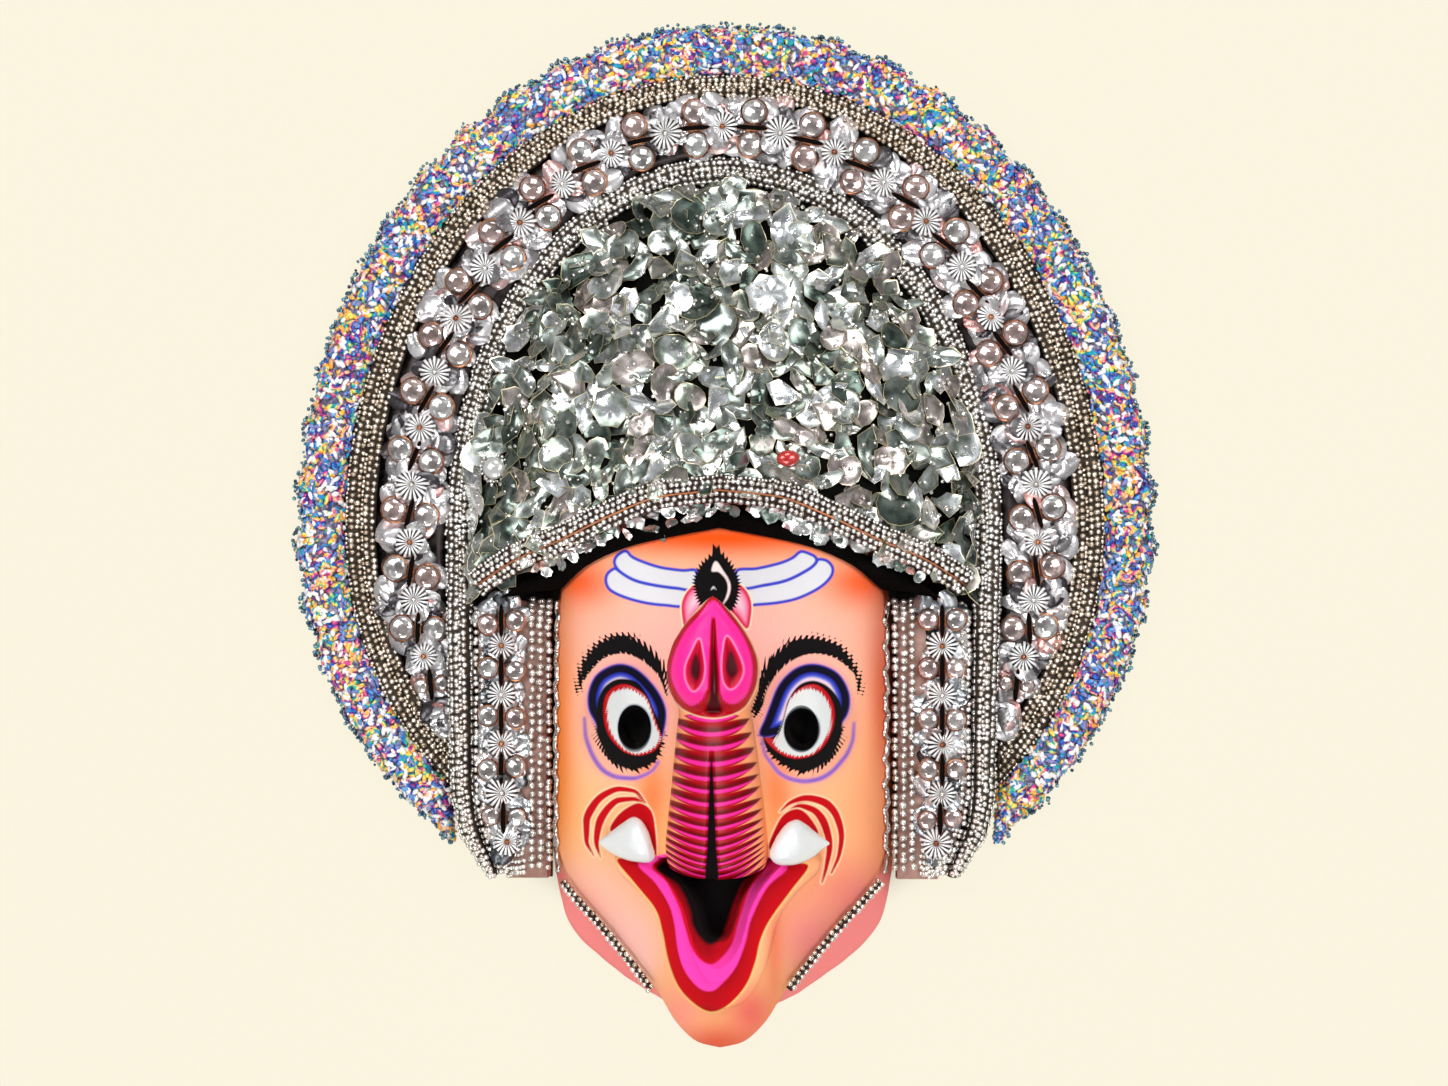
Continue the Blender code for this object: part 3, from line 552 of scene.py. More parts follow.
def handled():
    """Faint unevenness of a handmade finish: a brightness factor and a bump height."""
    tree, n, start, end = effect(
        "handled",
        [("Amount", "Float", 0.06), ("Size", "Float", 60.0)],
        [("Shade", "Float"), ("Height", "Float")])
    broad = n.noise(start.outputs["Size"], 4.0, 0.6)
    fine = n.noise(n.math("MULTIPLY", start.outputs["Size"], 12.0), 2.0, 0.5)
    both = n.math("MULTIPLY_ADD", fine, 0.35, n.math("MULTIPLY", broad, 0.65))
    n.put(end.inputs["Shade"], n.math("MULTIPLY_ADD", n.math("SUBTRACT", both, 0.5),
                                      n.math("MULTIPLY", start.outputs["Amount"], 2.0), 1.0))
    n.put(end.inputs["Height"], both)
    return tree


LAYER, LASHES, HANDLED = paint_layer(), lash_wave(), handled()


def new_look(name, roughness=0.5, metallic=0.0, **plain):
    """A Principled material with plain values on its own sockets."""
    look = bpy.data.materials.new(name)
    look.use_nodes = True
    shader = look.node_tree.nodes["Principled BSDF"]
    shader.inputs["Roughness"].default_value = roughness
    shader.inputs["Metallic"].default_value = metallic
    for key, value in plain.items():
        shader.inputs[key.replace("_", " ").title().replace("Ior", "IOR")].default_value = value
    return look, Nodes(look.node_tree), shader


def shaded(n, colour, amount, size):
    """The colour with a handmade finish's unevenness, and that unevenness as a height."""
    made = n.add("Group")
    made.node_tree = HANDLED
    made.inputs["Amount"].default_value = amount
    made.inputs["Size"].default_value = size
    scaled = n.add("VectorMath", {0: colour, "Scale": made.outputs["Shade"]},
                   operation="SCALE").outputs[0]
    return scaled, made.outputs["Height"]


def surface(n, shader, colour, height, strength, distance):
    """Links a look's colour and the bumps of its height."""
    n.put(shader.inputs["Base Color"], colour)
    n.put(shader.inputs["Normal"], n.bump(height, strength, distance))


def layered(n, under, paint, depth, edge, soft):
    """One coat of paint laid over another where a depth is past an edge."""
    return n.group(LAYER, {"Under": under, "Paint": paint, "Depth": depth, "Edge": edge,
                           "Soft": soft})


def haired(n, depth, drawn_at, centre, count, length, lean):
    """A figure's depth lengthened by hairs that point away from a centre."""
    return n.math("ADD", depth, n.group(LASHES, {
        "Drawn": drawn_at, "Centre": (*centre, 0.0), "Count": count, "Length": length,
        "Lean": lean}))


def painted(name, layers, lashes, roughness, coat):
    """Gloss paint: a ground tone with layers (depth name, edge, colour, softness) over it.

    The black figures, the pupils and the mouth's hollow have no gloss. lashes gives, by
    layer number, the hairs that lengthen that layer's edge: (centre on the drawing, how
    many to a turn, length, lean).
    """
    look, n, shader = new_look(name, roughness, coat_weight=coat, coat_roughness=0.12,
                               specular_ior_level=0.25)
    ground = colour = n.vector("tone")
    depths, drawn_at = {}, n.vector("drawn")
    for number, (depth, edge, paint, soft) in enumerate(layers):
        if depth not in depths:
            depths[depth] = n.value(depth)
        socket = depths[depth]
        for hairs in lashes.get(number, []):
            socket = haired(n, socket, drawn_at, *hairs)
        colour = layered(n, colour, ground if paint is SKIN else paint, socket, edge, soft)
    surface(n, shader, *shaded(n, colour, 0.05, 35.0), 0.12, 0.0006)
    dull = n.span(depths["cavity"], -2.0, 3.0)
    black = n.math("SUBTRACT", depths["eyes"], n.math("MULTIPLY", depths["rings"], 9.0))
    for depth, low, high in ((depths["pupils"], 5.0, 8.0), (depths["brows"], 0.0, 1.5),
                             (depths["third_eye"], 0.0, 1.5), (black, 0.0, 1.5)):
        dull = n.math("MAXIMUM", dull, n.span(depth, low, high))
    n.put(shader.inputs["Coat Weight"], n.math("MULTIPLY_ADD", dull, -coat, coat))
    n.put(shader.inputs["Roughness"], n.math("MULTIPLY_ADD", dull, 1 - roughness, roughness))
    return look


SKIN = "skin"
RED, DARK_RED, PINK = ink(192, 0, 14), ink(166, 0, 14), ink(250, 62, 170)
BLACK, WHITE, NAVY = ink(8, 5, 6), ink(214, 217, 216), ink(7, 5, 30)
BLUE, PALE_BLUE, PURPLE = ink(50, 60, 190), ink(134, 146, 222), ink(112, 86, 196)
CREAM, BAND_WHITE, HOT_PINK = ink(255, 226, 184), ink(215, 214, 217), ink(244, 42, 148)


# ---------------------------------------------------------------- the painted figures
# Outlines and brush lines of the face, in the drawing's units
BANDS_UPPER = [ [(626.2, 551.2), (632, 556.5), (641, 561), (660, 567.3), (682, 570.5),
    (697, 571.2), (692.5, 588.7), (677, 588), (655, 585), (635, 580), (620, 571), (615, 562.5),
    (618, 555.5)], [(737, 571), (757, 568.7), (780, 563.4), (793, 558), (801, 551.8), (809, 553.5),
    (816, 557.5), (816, 563), (807.5, 570), (787.5, 580), (765, 585), (742, 587.7)]]
BANDS_LOWER = [ [(615, 568.7), (620, 571), (635, 580), (655, 585), (677, 588), (694, 588.7),
    (686, 605.2), (665, 605), (645, 602.5), (625, 597), (611, 590), (606.6, 582), (608, 574)],
    [(741, 587.7), (765, 585), (787.5, 580), (807.5, 570), (816, 563), (819, 559.5), (827.5, 561),
    (833, 568), (831, 577), (820, 587.5), (800, 597.5), (780, 602.3), (757, 604.5), (742, 604.8)]]
THIRD_EYE = [(716.2, 545), (713, 553), (708.5, 558), (702, 564), (697, 573), (694.6, 582.5),
    (696, 592.5), (700, 603), (707, 612), (717, 616), (727, 614), (734, 608), (738.5, 596),
    (739.5, 583), (735.5, 571), (730, 562), (723, 554)]
THIRD_WHITE = [(716.2, 561), (712, 571), (719, 572), (726, 579), (728.4, 588), (726, 598),
    (722, 606), (728.5, 598), (731.2, 588), (729.5, 580), (724, 571)]
THIRD_GLINT = [(710.8, 590.5), (714, 586), (717.4, 590.5), (714, 588.6)]
THIRD_PETALS = [ [(698, 584), (688, 591), (682.6, 602), (682.4, 614), (686, 628), (697, 615),
    (707, 604), (704, 592)], [(738, 584), (747, 591), (751.6, 602), (751.6, 615), (747.6, 629),
    (736, 616), (726, 604), (730, 592)]]
BROW_LEFT = [(578.3, 690), (580.8, 669), (587.5, 655.5), (596.7, 645), (608.3, 638), (620, 635.6),
    (631.7, 637), (641.7, 642), (653.3, 652), (662, 663.5), (665.5, 676), (666.8, 692),
    (660, 678.3), (650, 666.7), (640, 659.2), (628.3, 654.6), (616.7, 654.2), (603.3, 659.2),
    (591.7, 671), (583.3, 681.7)]
BROW_RIGHT = [(753.7, 713.3), (754.5, 701.7), (757.8, 688.3), (762, 676.7), (767, 665),
    (777, 652.5), (788.7, 643.3), (802, 638.3), (815.3, 637.3), (827, 640), (838.7, 645),
    (848.7, 655), (855.3, 666.7), (859.5, 678.3), (860.5, 692), (856.2, 680), (848.7, 668.3),
    (837, 659.2), (823.7, 654.7), (810.3, 654.2), (797, 658.3), (783.7, 667.5), (773.7, 679.2),
    (767, 691.7), (762.8, 705), (758, 713.3)]
UNDER_BROWS = [ [(583.3, 689), (585.5, 680), (591.7, 671), (603.3, 659.2), (616.7, 654.2),
    (628.3, 654.6), (640, 659.2), (650, 666.7), (660, 678.3), (664, 700), (640, 730), (600, 730)],
    [(764, 713.3), (763.8, 705), (767, 691.7), (773.7, 679.2), (783.7, 667.5), (797, 658.3),
    (810.3, 654.2), (823.7, 654.7), (837, 659.2), (848.7, 668.3), (856.2, 680), (853, 720),
    (800, 740)]]
LIDS = [ [(601, 727), (593.5, 719), (588.6, 708), (588.6, 692.3), (595, 676.7), (606.7, 667.5),
    (620, 663.7), (633.3, 666.7), (645, 675), (656.7, 688.3), (664.2, 701.7), (667, 713),
    (665.6, 727), (661, 739), (650, 734), (625, 728)], [(759.5, 733.5), (765.3, 718.3),
    (770.3, 705), (777, 688.3), (785.3, 676.7), (797, 667.5), (810.3, 663.7), (823.7, 665.3),
    (837, 671.7), (845.3, 681.7), (850.3, 695), (850, 709), (845, 720), (836, 727), (812, 728),
    (790, 732), (768, 737.5)]]
EYE_LEFT = [(597.5, 700), (604, 686.7), (615, 679), (626.7, 678), (638.3, 681.5), (648.3, 694),
    (655, 709), (660.8, 722), (663.6, 731), (662, 744), (658.7, 753), (655, 761), (645, 766.5),
    (633, 769.5), (620, 765.5), (610, 757), (602.8, 746), (597.4, 733), (595.8, 718)]
RING_LEFT = [(604, 705), (607.5, 693.3), (616.7, 685.8), (626.7, 684.2), (636.7, 688.3),
    (646.7, 696.7), (651.7, 708.3), (657, 723), (662, 736), (660.3, 744), (653.3, 751.7),
    (641.7, 755.3), (630, 754.2), (620, 748.3), (610, 736.7), (605, 723.3)]
WHITE_LEFT = [(608, 706.7), (611.7, 695), (620, 690.4), (628.3, 689.4), (638.3, 693.8),
    (646.7, 700.5), (651.2, 712), (655, 724), (660, 736.7), (656.7, 744.5), (648.3, 750.8),
    (636.7, 753.3), (626.7, 750), (616.7, 740), (610, 726.7)]
EYE_RIGHT = [(762, 735.6), (769, 736.8), (775.5, 734), (780.3, 726.7), (783.7, 713.3),
    (787, 701.7), (793.7, 690), (802, 682.5), (813.7, 679.7), (825.3, 683.3), (835.3, 691.7),
    (842, 703.3), (843.6, 716), (843, 728), (840.5, 739), (835.5, 750), (829, 759), (819.5, 766.3),
    (808.7, 771), (797, 770.4), (784.4, 764.4), (774.3, 756.7), (766, 746.7)]
RING_RIGHT = [(764.5, 738), (772.8, 738.7), (779, 735), (783.6, 724), (786.2, 710), (792, 696.7),
    (802, 687.5), (814.5, 684.2), (825.3, 690), (832.8, 701.7), (835.3, 715), (832.8, 730),
    (825.3, 745), (813.7, 755), (798.7, 758.7), (787, 756.7), (775.3, 750)]
WHITE_RIGHT = [(775, 741), (780.3, 732.5), (784.5, 720), (787.8, 706.7), (793.7, 696.5),
    (802, 691), (812, 689.5), (822, 694), (828.7, 704), (831.2, 715), (829.5, 730), (822, 743.3),
    (812, 753.3), (797, 755.8), (783.7, 751.7), (777.5, 747)]
ARC_LEFT = [(585, 718.3), (585.8, 733.3), (590, 748.3), (596.7, 761.7), (606.7, 772.5),
    (620, 777.5), (633.3, 778.3), (645, 775), (653.3, 770), (659.2, 761.7)]
ARC_RIGHT = [(854.5, 723.3), (853.7, 736.7), (848.7, 751.7), (840.3, 763.3), (830.3, 773.3),
    (818.7, 779.2), (805.3, 781.3), (792, 779.2), (780.3, 773.3), (772, 763.3), (765.3, 753.3),
    (762.3, 740)]
CHEEK_STROKES = [[(594.4, 856), (587, 840), (587, 822), (595, 804), (606, 794), (620, 789),
    (634.6, 791), (646, 803)], [(601, 857.6), (597, 842), (599, 826), (608, 809), (620, 800),
    (634, 799), (648, 807)], [(780.4, 811.7), (792, 802), (807, 798), (824, 802), (837, 816),
    (842, 836.6), (840, 853), (832, 873)], [(787, 812), (800, 806), (814, 810), (825, 824),
    (830, 846), (827, 866), (822.5, 882.5)]]
CHEEK_BLOBS = [[(611, 832), (616, 818), (627, 808), (640, 803), (652, 811), (656, 830), (657, 850),
    (655, 862), (630, 846)], [(770, 850), (776.6, 826), (786, 813), (799.5, 809), (811, 818),
    (819, 836), (800, 846)]]
LIPS = [(617.4, 859.5), (634.6, 882.5), (655.7, 909), (663, 932), (669, 961), (678.7, 986),
    (694, 1003), (711, 1011.7), (728.7, 1005), (746, 986), (755.5, 963), (761, 940), (771, 919),
    (792, 890), (809, 866), (790, 863), (765, 858), (712, 848), (660, 856), (640, 860)]
LIPS_PINK = [(638.5, 864), (655.7, 882.5), (669, 903.5), (674.8, 922.7), (678.7, 951), (686, 972),
    (699.7, 988), (712, 991), (722, 984), (736.4, 966.7), (746, 942), (751.7, 919), (767, 888),
    (788, 867), (765, 856), (712, 846), (656, 856)]
LIPS_INNER = [(653.8, 863), (667, 882.5), (678.7, 905.5), (685.4, 926.5), (692, 947.6), (701, 960),
    (712, 964.5), (722, 958), (732.5, 943.7), (740, 919), (750, 890), (765, 862), (712, 846)]
CAVITY = [(657, 866), (678.7, 885), (690, 909), (693, 924.6), (701.6, 939), (711, 944.7),
    (721, 938), (728, 922), (734, 904), (743, 884), (756, 868), (712, 848)]

HEART = [(714.3, 594.6), (699.8, 609), (685.7, 623), (674, 640), (667.5, 656), (665.8, 669.6),
    (666.7, 681), (672.5, 696), (681.6, 707.7), (696, 715), (714, 718), (731, 715), (743, 709),
    (750.4, 700), (757, 685), (758.7, 669.6), (757, 656), (750.4, 640), (739.6, 623), (728, 609)]
HEART_PINK = [(713.9, 601), (698, 618), (685.7, 632), (675.8, 652), (671.5, 669.6), (673.5, 683),
    (681.6, 698), (692, 706), (703, 699), (707, 690), (719, 692), (724, 700), (733, 704),
    (743, 699), (750, 688), (753, 670), (750, 652), (742, 634), (730, 618)]
HEART_GROOVE = [(713.9, 619.4), (711.9, 648), (711, 673), (709.8, 695), (706, 712), (722, 712),
    (718.9, 693.7), (718, 673), (716, 648)]
NOSTRILS = [[(699.4, 639), (692, 652), (686, 667), (687, 681), (694, 691), (702, 683), (705, 669),
    (703, 652)], [(727.6, 636.4), (723.5, 652), (722.6, 669.6), (725, 683), (731.3, 689),
    (739, 683), (743.8, 669.6), (738, 652)]]
NOSTRIL_HOLES = [[(695.9, 655), (692, 666), (691.8, 674), (695.7, 680), (699.5, 675),
    (699.5, 665)], [(730.9, 651.4), (727, 664), (727.4, 672), (732, 678), (737, 672),
    (735.5, 662)]]
TRUNK_GROOVE = [(712, 752), (709.8, 780), (708.8, 810), (707.6, 845), (706, 884), (718.5, 884),
    (716.6, 845), (715.2, 810), (713.8, 780)]
RING_CENTRES = [708, 720, 734.6, 748.6, 764.5, 779.5, 792, 805, 817.4, 829, 839.4, 849, 857.5, 865,
    871, 877, 884, 892, 900, 908]

# Middle of the trunk in the drawing
TRUNK_X = 712


def blobs(points, ground, spots):
    """Ground colour blended towards each spot: (x, y, reach across, reach up, colour, share)."""
    tone = np.tile(np.array(ground[:3]), (len(points), 1))
    for x, y, wide, high, colour, share in spots:
        near = np.exp(-((points[:, 0] - x) / wide) ** 2 - ((points[:, 1] - y) / high) ** 2)
        near = (share * near)[:, None]
        tone = tone * (1 - near) + np.array(colour[:3]) * near
    return tone


ORANGE, PEACH, ROSE = ink(252, 84, 10), ink(254, 184, 124), ink(250, 175, 163)
JAW_PINK = ink(246, 138, 136)
# Blushes over the peach ground, as blobs() takes them. Some are painted light and shade: the
# left jaw and a spot beside the lips are lighter and the right side darker, as the light falls
# from the left; the orange strips down the face's edges are partly orange paint and partly
# painted shade on its turning side walls.
FACE_BLUSH_AND_PAINTED_LIGHT = [ (720, 640, 230, 95, ROSE, 1.0), (720, 538, 190, 18, ORANGE, 1.0),
    (576, 582, 40, 24, ORANGE, 0.9), (864, 582, 40, 24, ORANGE, 0.9),
    (558, 740, 16, 150, ink(255, 130, 24), 0.95), (884, 740, 16, 150, ink(232, 80, 36), 0.95),
    (628, 728, 38, 46, ink(238, 168, 180), 0.9), (806, 732, 40, 46, ink(236, 154, 168), 0.9),
    (870, 800, 40, 80, ink(252, 164, 116), 0.8), (652, 800, 15, 60, ink(250, 128, 66), 0.85),
    (778, 795, 15, 60, ink(250, 128, 70), 0.85), (590, 893, 44, 40, ink(255, 188, 164), 0.95),
    (850, 893, 44, 40, ink(240, 134, 112), 0.9), (620, 940, 44, 44, ink(255, 190, 182), 0.95),
    (812, 940, 44, 44, ink(236, 130, 130), 0.9), (714, 1044, 60, 22, ink(222, 86, 60), 0.95),
    (680, 1012, 24, 28, ink(255, 152, 134), 0.9), (752, 1012, 24, 28, ink(240, 104, 96), 0.9),
    (642, 962, 14, 28, ink(255, 194, 182), 0.9), (775, 950, 8, 60, ink(240, 112, 70), 0.6),
    (578, 940, 20, 40, ink(252, 134, 134), 0.95), (866, 930, 20, 40, ink(242, 126, 140), 0.95)]


def face_inks(d):
    """Depths of every painted figure of the face at drawing points."""
    two = lambda shapes: most(*(filled(d, shape) for shape in shapes))
    ellipse = lambda x, y, a, b: (1 - np.hypot((d[:, 0] - x) / a, (d[:, 1] - y) / b)) * a
    return {
        "bands_upper": two(BANDS_UPPER), "bands_lower": two(BANDS_LOWER),
        "third_eye": filled(d, THIRD_EYE), "third_white": filled(d, THIRD_WHITE),
        "third_glint": filled(d, THIRD_GLINT), "petals": two(THIRD_PETALS),
        "brows": two([BROW_LEFT, BROW_RIGHT]), "under_brows": two(UNDER_BROWS),
        "lids": two(LIDS),
        "eyes": two([EYE_LEFT, EYE_RIGHT]), "rings": two([RING_LEFT, RING_RIGHT]),
        "whites": two([WHITE_LEFT, WHITE_RIGHT]),
        "pupils": most(ellipse(635, 727.3, 16.6, 22.6), ellipse(802.4, 729.4, 18, 21.7)),
        "arcs": most(stroked(d, ARC_LEFT, [0.8, 1.6, 1.8, 1.6, 0.7]),
                     stroked(d, ARC_RIGHT, [0.8, 1.6, 1.8, 1.6, 0.7])),
        "cheek_rings": most(*(stroked(d, line, [0.7, 3.0, 4.2, 3.5, 2.4, 1.1])
                              for line in CHEEK_STROKES)),
        "cheek_blobs": two(CHEEK_BLOBS), "lips": filled(d, LIPS),
        "lips_pink": filled(d, LIPS_PINK), "lips_inner": filled(d, LIPS_INNER),
        "cavity": filled(d, CAVITY)}


# Layers of paint from the first to the last, and the hairs at the edges of some, by number
FACE_LAYERS = [ ("bands_lower", -1.7, BLUE, 0.9), ("bands_lower", 1.4, BAND_WHITE, 0.8),
    ("bands_upper", -1.7, BLUE, 0.9), ("bands_upper", 1.4, BAND_WHITE, 0.8),
    ("petals", -1.4, CREAM, 0.8), ("petals", 0.0, ink(196, 8, 40), 0.8),
    ("petals", 2.6, ink(240, 84, 140), 3.0), ("petals", 6.4, ink(250, 196, 208), 4.0),
    ("brows", 0.0, BLACK, 0.8), ("third_eye", 0.0, BLACK, 0.8), ("eyes", 0.0, BLACK, 0.8),
    ("under_brows", 0.0, SKIN, 0.8), ("eyes", 0.0, BLACK, 0.8),
    ("third_white", 0.0, ink(250, 226, 222), 0.8), ("third_glint", 0.0, WHITE, 0.6),
    ("arcs", -1.2, ink(214, 140, 170), 1.6), ("arcs", 0.2, PURPLE, 1.4),
    ("lids", -1.4, ink(226, 150, 176), 3.0), ("lids", 0.0, ink(58, 54, 168), 0.9),
    ("lids", 1.4, NAVY, 1.0), ("lids", 9.0, BLUE, 1.2), ("lids", 12.4, PALE_BLUE, 1.6),
    ("lids", 13.8, ink(236, 206, 222), 1.0), ("eyes", 1.0, BLACK, 0.8), ("rings", 0.0, RED, 0.8),
    # The pupils' paint grows darker towards their middle, down the walls of the pierced holes:
    # painted shade deep in the holes.
    ("whites", 0.0, WHITE, 0.8), ("pupils", -1.0, ink(176, 190, 200), 0.8),
    ("pupils", 0.0, BLACK, 0.8), ("pupils", 2.4, ink(34, 27, 24), 1.6),
    ("pupils", 8.0, ink(6, 4, 4), 2.4), ("cheek_rings", -1.1, CREAM, 0.9),
    ("cheek_rings", 0.0, RED, 0.9), ("cheek_blobs", -1.1, CREAM, 0.9),
    ("cheek_blobs", 0.0, RED, 0.9), ("lips", -1.5, ink(255, 200, 120), 1.0),
    ("lips", 0.0, RED, 0.9), ("lips", 8.0, DARK_RED, 8.0), ("lips_pink", 0.0, PINK, 1.1),
    ("lips_inner", 0.0, ink(196, 0, 26), 1.2), ("lips_inner", 9.0, ink(150, 0, 18), 8.0),
    ("cavity", 0.0, BLACK, 2.0)]
FACE_LASHES = {
    8: [((624, 712), 84, 2.3, 0.012), ((806, 716), 84, 2.3, -0.012)],
    9: [((716.7, 588), 44, 2.0, 0.0)],
    10: [((626, 720), 66, 2.3, 0.008), ((805, 724), 66, 2.3, -0.008)],
    25: [((630, 724), 80, 0.8, 0.02), ((805, 724), 80, 0.8, 0.02)]}


# ---------------------------------------------------------------- the face
def radius_at(outline, angle):
    """Distance from the face centre to a face outline, by angle."""
    loop = both_sides(curve_through(outline, 400))[:-1]
    x, y = loop[:, 0], loop[:, 1] - FACE_CENTRE_Y
    turn = np.arctan2(y, x)
    order = np.argsort(turn)
    return np.interp(angle, turn[order], np.hypot(x, y)[order], period=TAU)


def face_height(x, y):
    """Height of the face's skin: a flattened dome from the edge height to the spine's.

    With s the share of the way to the edge, it is edge + (spine - edge)(1 - s^3)^0.55,
    plus the nose bridge, the eyeballs with a ring sunk round them, and the cheeks.
    """
    x, y = np.asarray(x, float), np.asarray(y, float)
    angle = np.arctan2(y - FACE_CENTRE_Y, x)
    reach = radius_at(FACE_EDGE, angle)
    s = np.clip(np.hypot(x, y - FACE_CENTRE_Y) / reach, 0, 1)
    edge = through(EDGE_HEIGHT, FACE_CENTRE_Y + reach * np.sin(angle))
    height = edge + (through(SPINE_HEIGHT, y) - edge) * (1 - s**3) ** 0.55
    height += through(BRIDGE_HEIGHT, y) * np.exp(-np.abs(x / 25) ** 2.4)
    ring = np.sqrt(((np.abs(x) - 44.8) / 23) ** 2 + ((y + 103) / 27) ** 2)
    height += 4.5 * np.exp(-ring**4) - 2.2 * np.exp(-((ring - 1.3) / 0.28) ** 2)
    height += 4.0 * np.exp(-((np.abs(x) - 40) / 17) ** 2 - ((y + 160) / 20) ** 2)
    return height


def closed_mouth(half):
    """Mouth outline as a closed ring: up the right side and down the left."""
    right = curve_through(half, 40)
    right = np.vstack([right, [right[-1, 0], -174.0]])
    return np.vstack([right, right[:0:-1] * np.array([-1, 1])])


def face_front(x, y):
    """The skin with the lips' round ridge raised on it and the mouth's funnel sunk in it."""
    flat = np.stack([x, y], -1).reshape(-1, 2)
    high = face_height(flat[:, 0], flat[:, 1])
    lip = both_sides(curve_through(LIP_PATH, 80))
    pick = near_box(flat, lip, 10)
    away, t = nearest(flat[pick], lip[:-1], lip[1:])
    best = away.argmin(1)
    spot = lip[best] + (lip[best + 1] - lip[best]) * t[np.arange(len(best)), best][:, None]
    off = away[np.arange(len(best)), best]
    ridge = face_height(spot[:, 0], spot[:, 1]) + 1.6 \
        + 4.6 * np.sqrt(np.clip(1 - (off / LIP_REACH) ** 2, 0, None))
    high[pick] = np.where(off < LIP_REACH, np.maximum(high[pick], ridge), high[pick])
    under = smooth((flat[:, 1] + 182) / 8) * smooth((-70 - flat[:, 1]) / 12)
    high -= 14 * under * np.exp(-(flat[:, 0] / 15) ** 4)
    wide = filled(flat, closed_mouth(MOUTH_WIDE), 4, 0)
    deep = filled(flat, closed_mouth(MOUTH_DEEP), 12, 0)
    share = np.clip(wide / np.maximum(wide - deep, 0.1), 0, 1)
    funnel = 92 - 17 * smooth(share)
    floor = 75 - 22 * smooth((deep - 0.2) / 2.6)
    sunk = np.where(deep > 0.2, floor, funnel)
    return np.where(wide > 0, np.minimum(high, sunk), high).reshape(np.shape(x))


def face_shell():
    """Papier-mache shell: skin rows from brow to chin, a side wall, a flat rim and a hollow.

    Row k runs from one edge to the other at its own y; the rows' ends and the first and
    last rows make one loop, which the wall and the inside carry on as shrinking rings.
    """
    rows, columns = 340, 208
    edge = curve_through(FACE_EDGE, 800)
    y = np.linspace(38.75, -278.75, rows)
    half = np.interp(-y, -edge[:, 1], edge[:, 0])
    u = np.linspace(-1, 1, columns)
    x = half[:, None] * u[None, :]
    y_all = np.repeat(y[:, None], columns, 1)
    front = np.stack([x, y_all, face_front(x, y_all)], -1).reshape(-1, 3)
    number = np.arange(rows * columns).reshape(rows, columns)
    loop = np.r_[number[0], number[1:, -1], number[-1, -2::-1], number[-2:0:-1, 0]]
    count = len(loop)
    lip = front[loop]
    centre = np.array([0, FACE_CENTRE_Y])
    turn = np.arctan2(lip[:, 1] - FACE_CENTRE_Y, lip[:, 0])
    way = np.stack([np.cos(turn), np.sin(turn)], 1)
    along = np.arange(count) / count * TAU
    wave = 0.5 * np.sin(41 * along) + 0.4 * np.sin(23 * along + 1) + 0.25 * np.sin(97 * along)
    rim = centre + way * (radius_at(RIM_EDGE, turn) + 0.35 * wave)[:, None]
    rings = []
    for share, drop in ((0.0, 0.04), (0.12, 0.22), (0.4, 0.5), (0.62, 0.7), (0.86, 0.9)):
        flat = lip[:, :2] * (1 - share) + rim * share
        rings.append(np.c_[flat, lip[:, 2] + (4 - lip[:, 2]) * drop])
    rings += [np.c_[rim, np.full(count, 4.0)], np.c_[rim, np.full(count, 1.2)],
              np.c_[rim - way * 1.0, np.zeros(count)], np.c_[rim - way * 5.4, np.zeros(count)]]
    inner = centre + way * (radius_at(RIM_EDGE, turn) - 6.5)[:, None]
    rings.append(np.c_[inner, np.full(count, 1.5)])
    rings.append(np.c_[inner, np.full(count, 8.0)])
    hollow = [(43, 50), (0, 58), (-40, 64), (-95, 69), (-150, 66), (-185, 48), (-240, 44),
              (-270, 36)]
    reach = radius_at(FACE_EDGE, turn)
    for s in (0.97, 0.9, 0.79, 0.65, 0.48, 0.28, 0.1):
        spot = centre + (inner - centre) * s
        share = np.linalg.norm(spot - centre, axis=1) / reach
        z = 8 + (through(hollow, spot[:, 1]) - 8) * (1 - s**3) ** 0.6
        rings.append(np.c_[spot, np.minimum(z, 8 + 220 * np.clip(0.99 - share, 0, 1))])
    pole = [0, FACE_CENTRE_Y, float(through(hollow, FACE_CENTRE_Y))]
    points = np.vstack([front] + rings + [[pole]])
    start = len(front)
    first = np.stack([loop, np.roll(loop, -1), start + (np.arange(count) + 1) % count,
                      start + np.arange(count)], -1)
    last = start + (len(rings) - 1) * count
    wall = grid(len(rings), count, start=start)[:, ::-1]
    faces = [fan(last, count, len(points) - 1, flip=True),
             grid(rows, columns, around=False)[:, ::-1], first[:, ::-1], wall]
    painted_wall = 7 * count
    picks = np.r_[np.ones(count), np.zeros((rows - 1) * (columns - 1) + count),
                  np.repeat([0, 1], [painted_wall, len(wall) - painted_wall])]
    return points, faces, picks


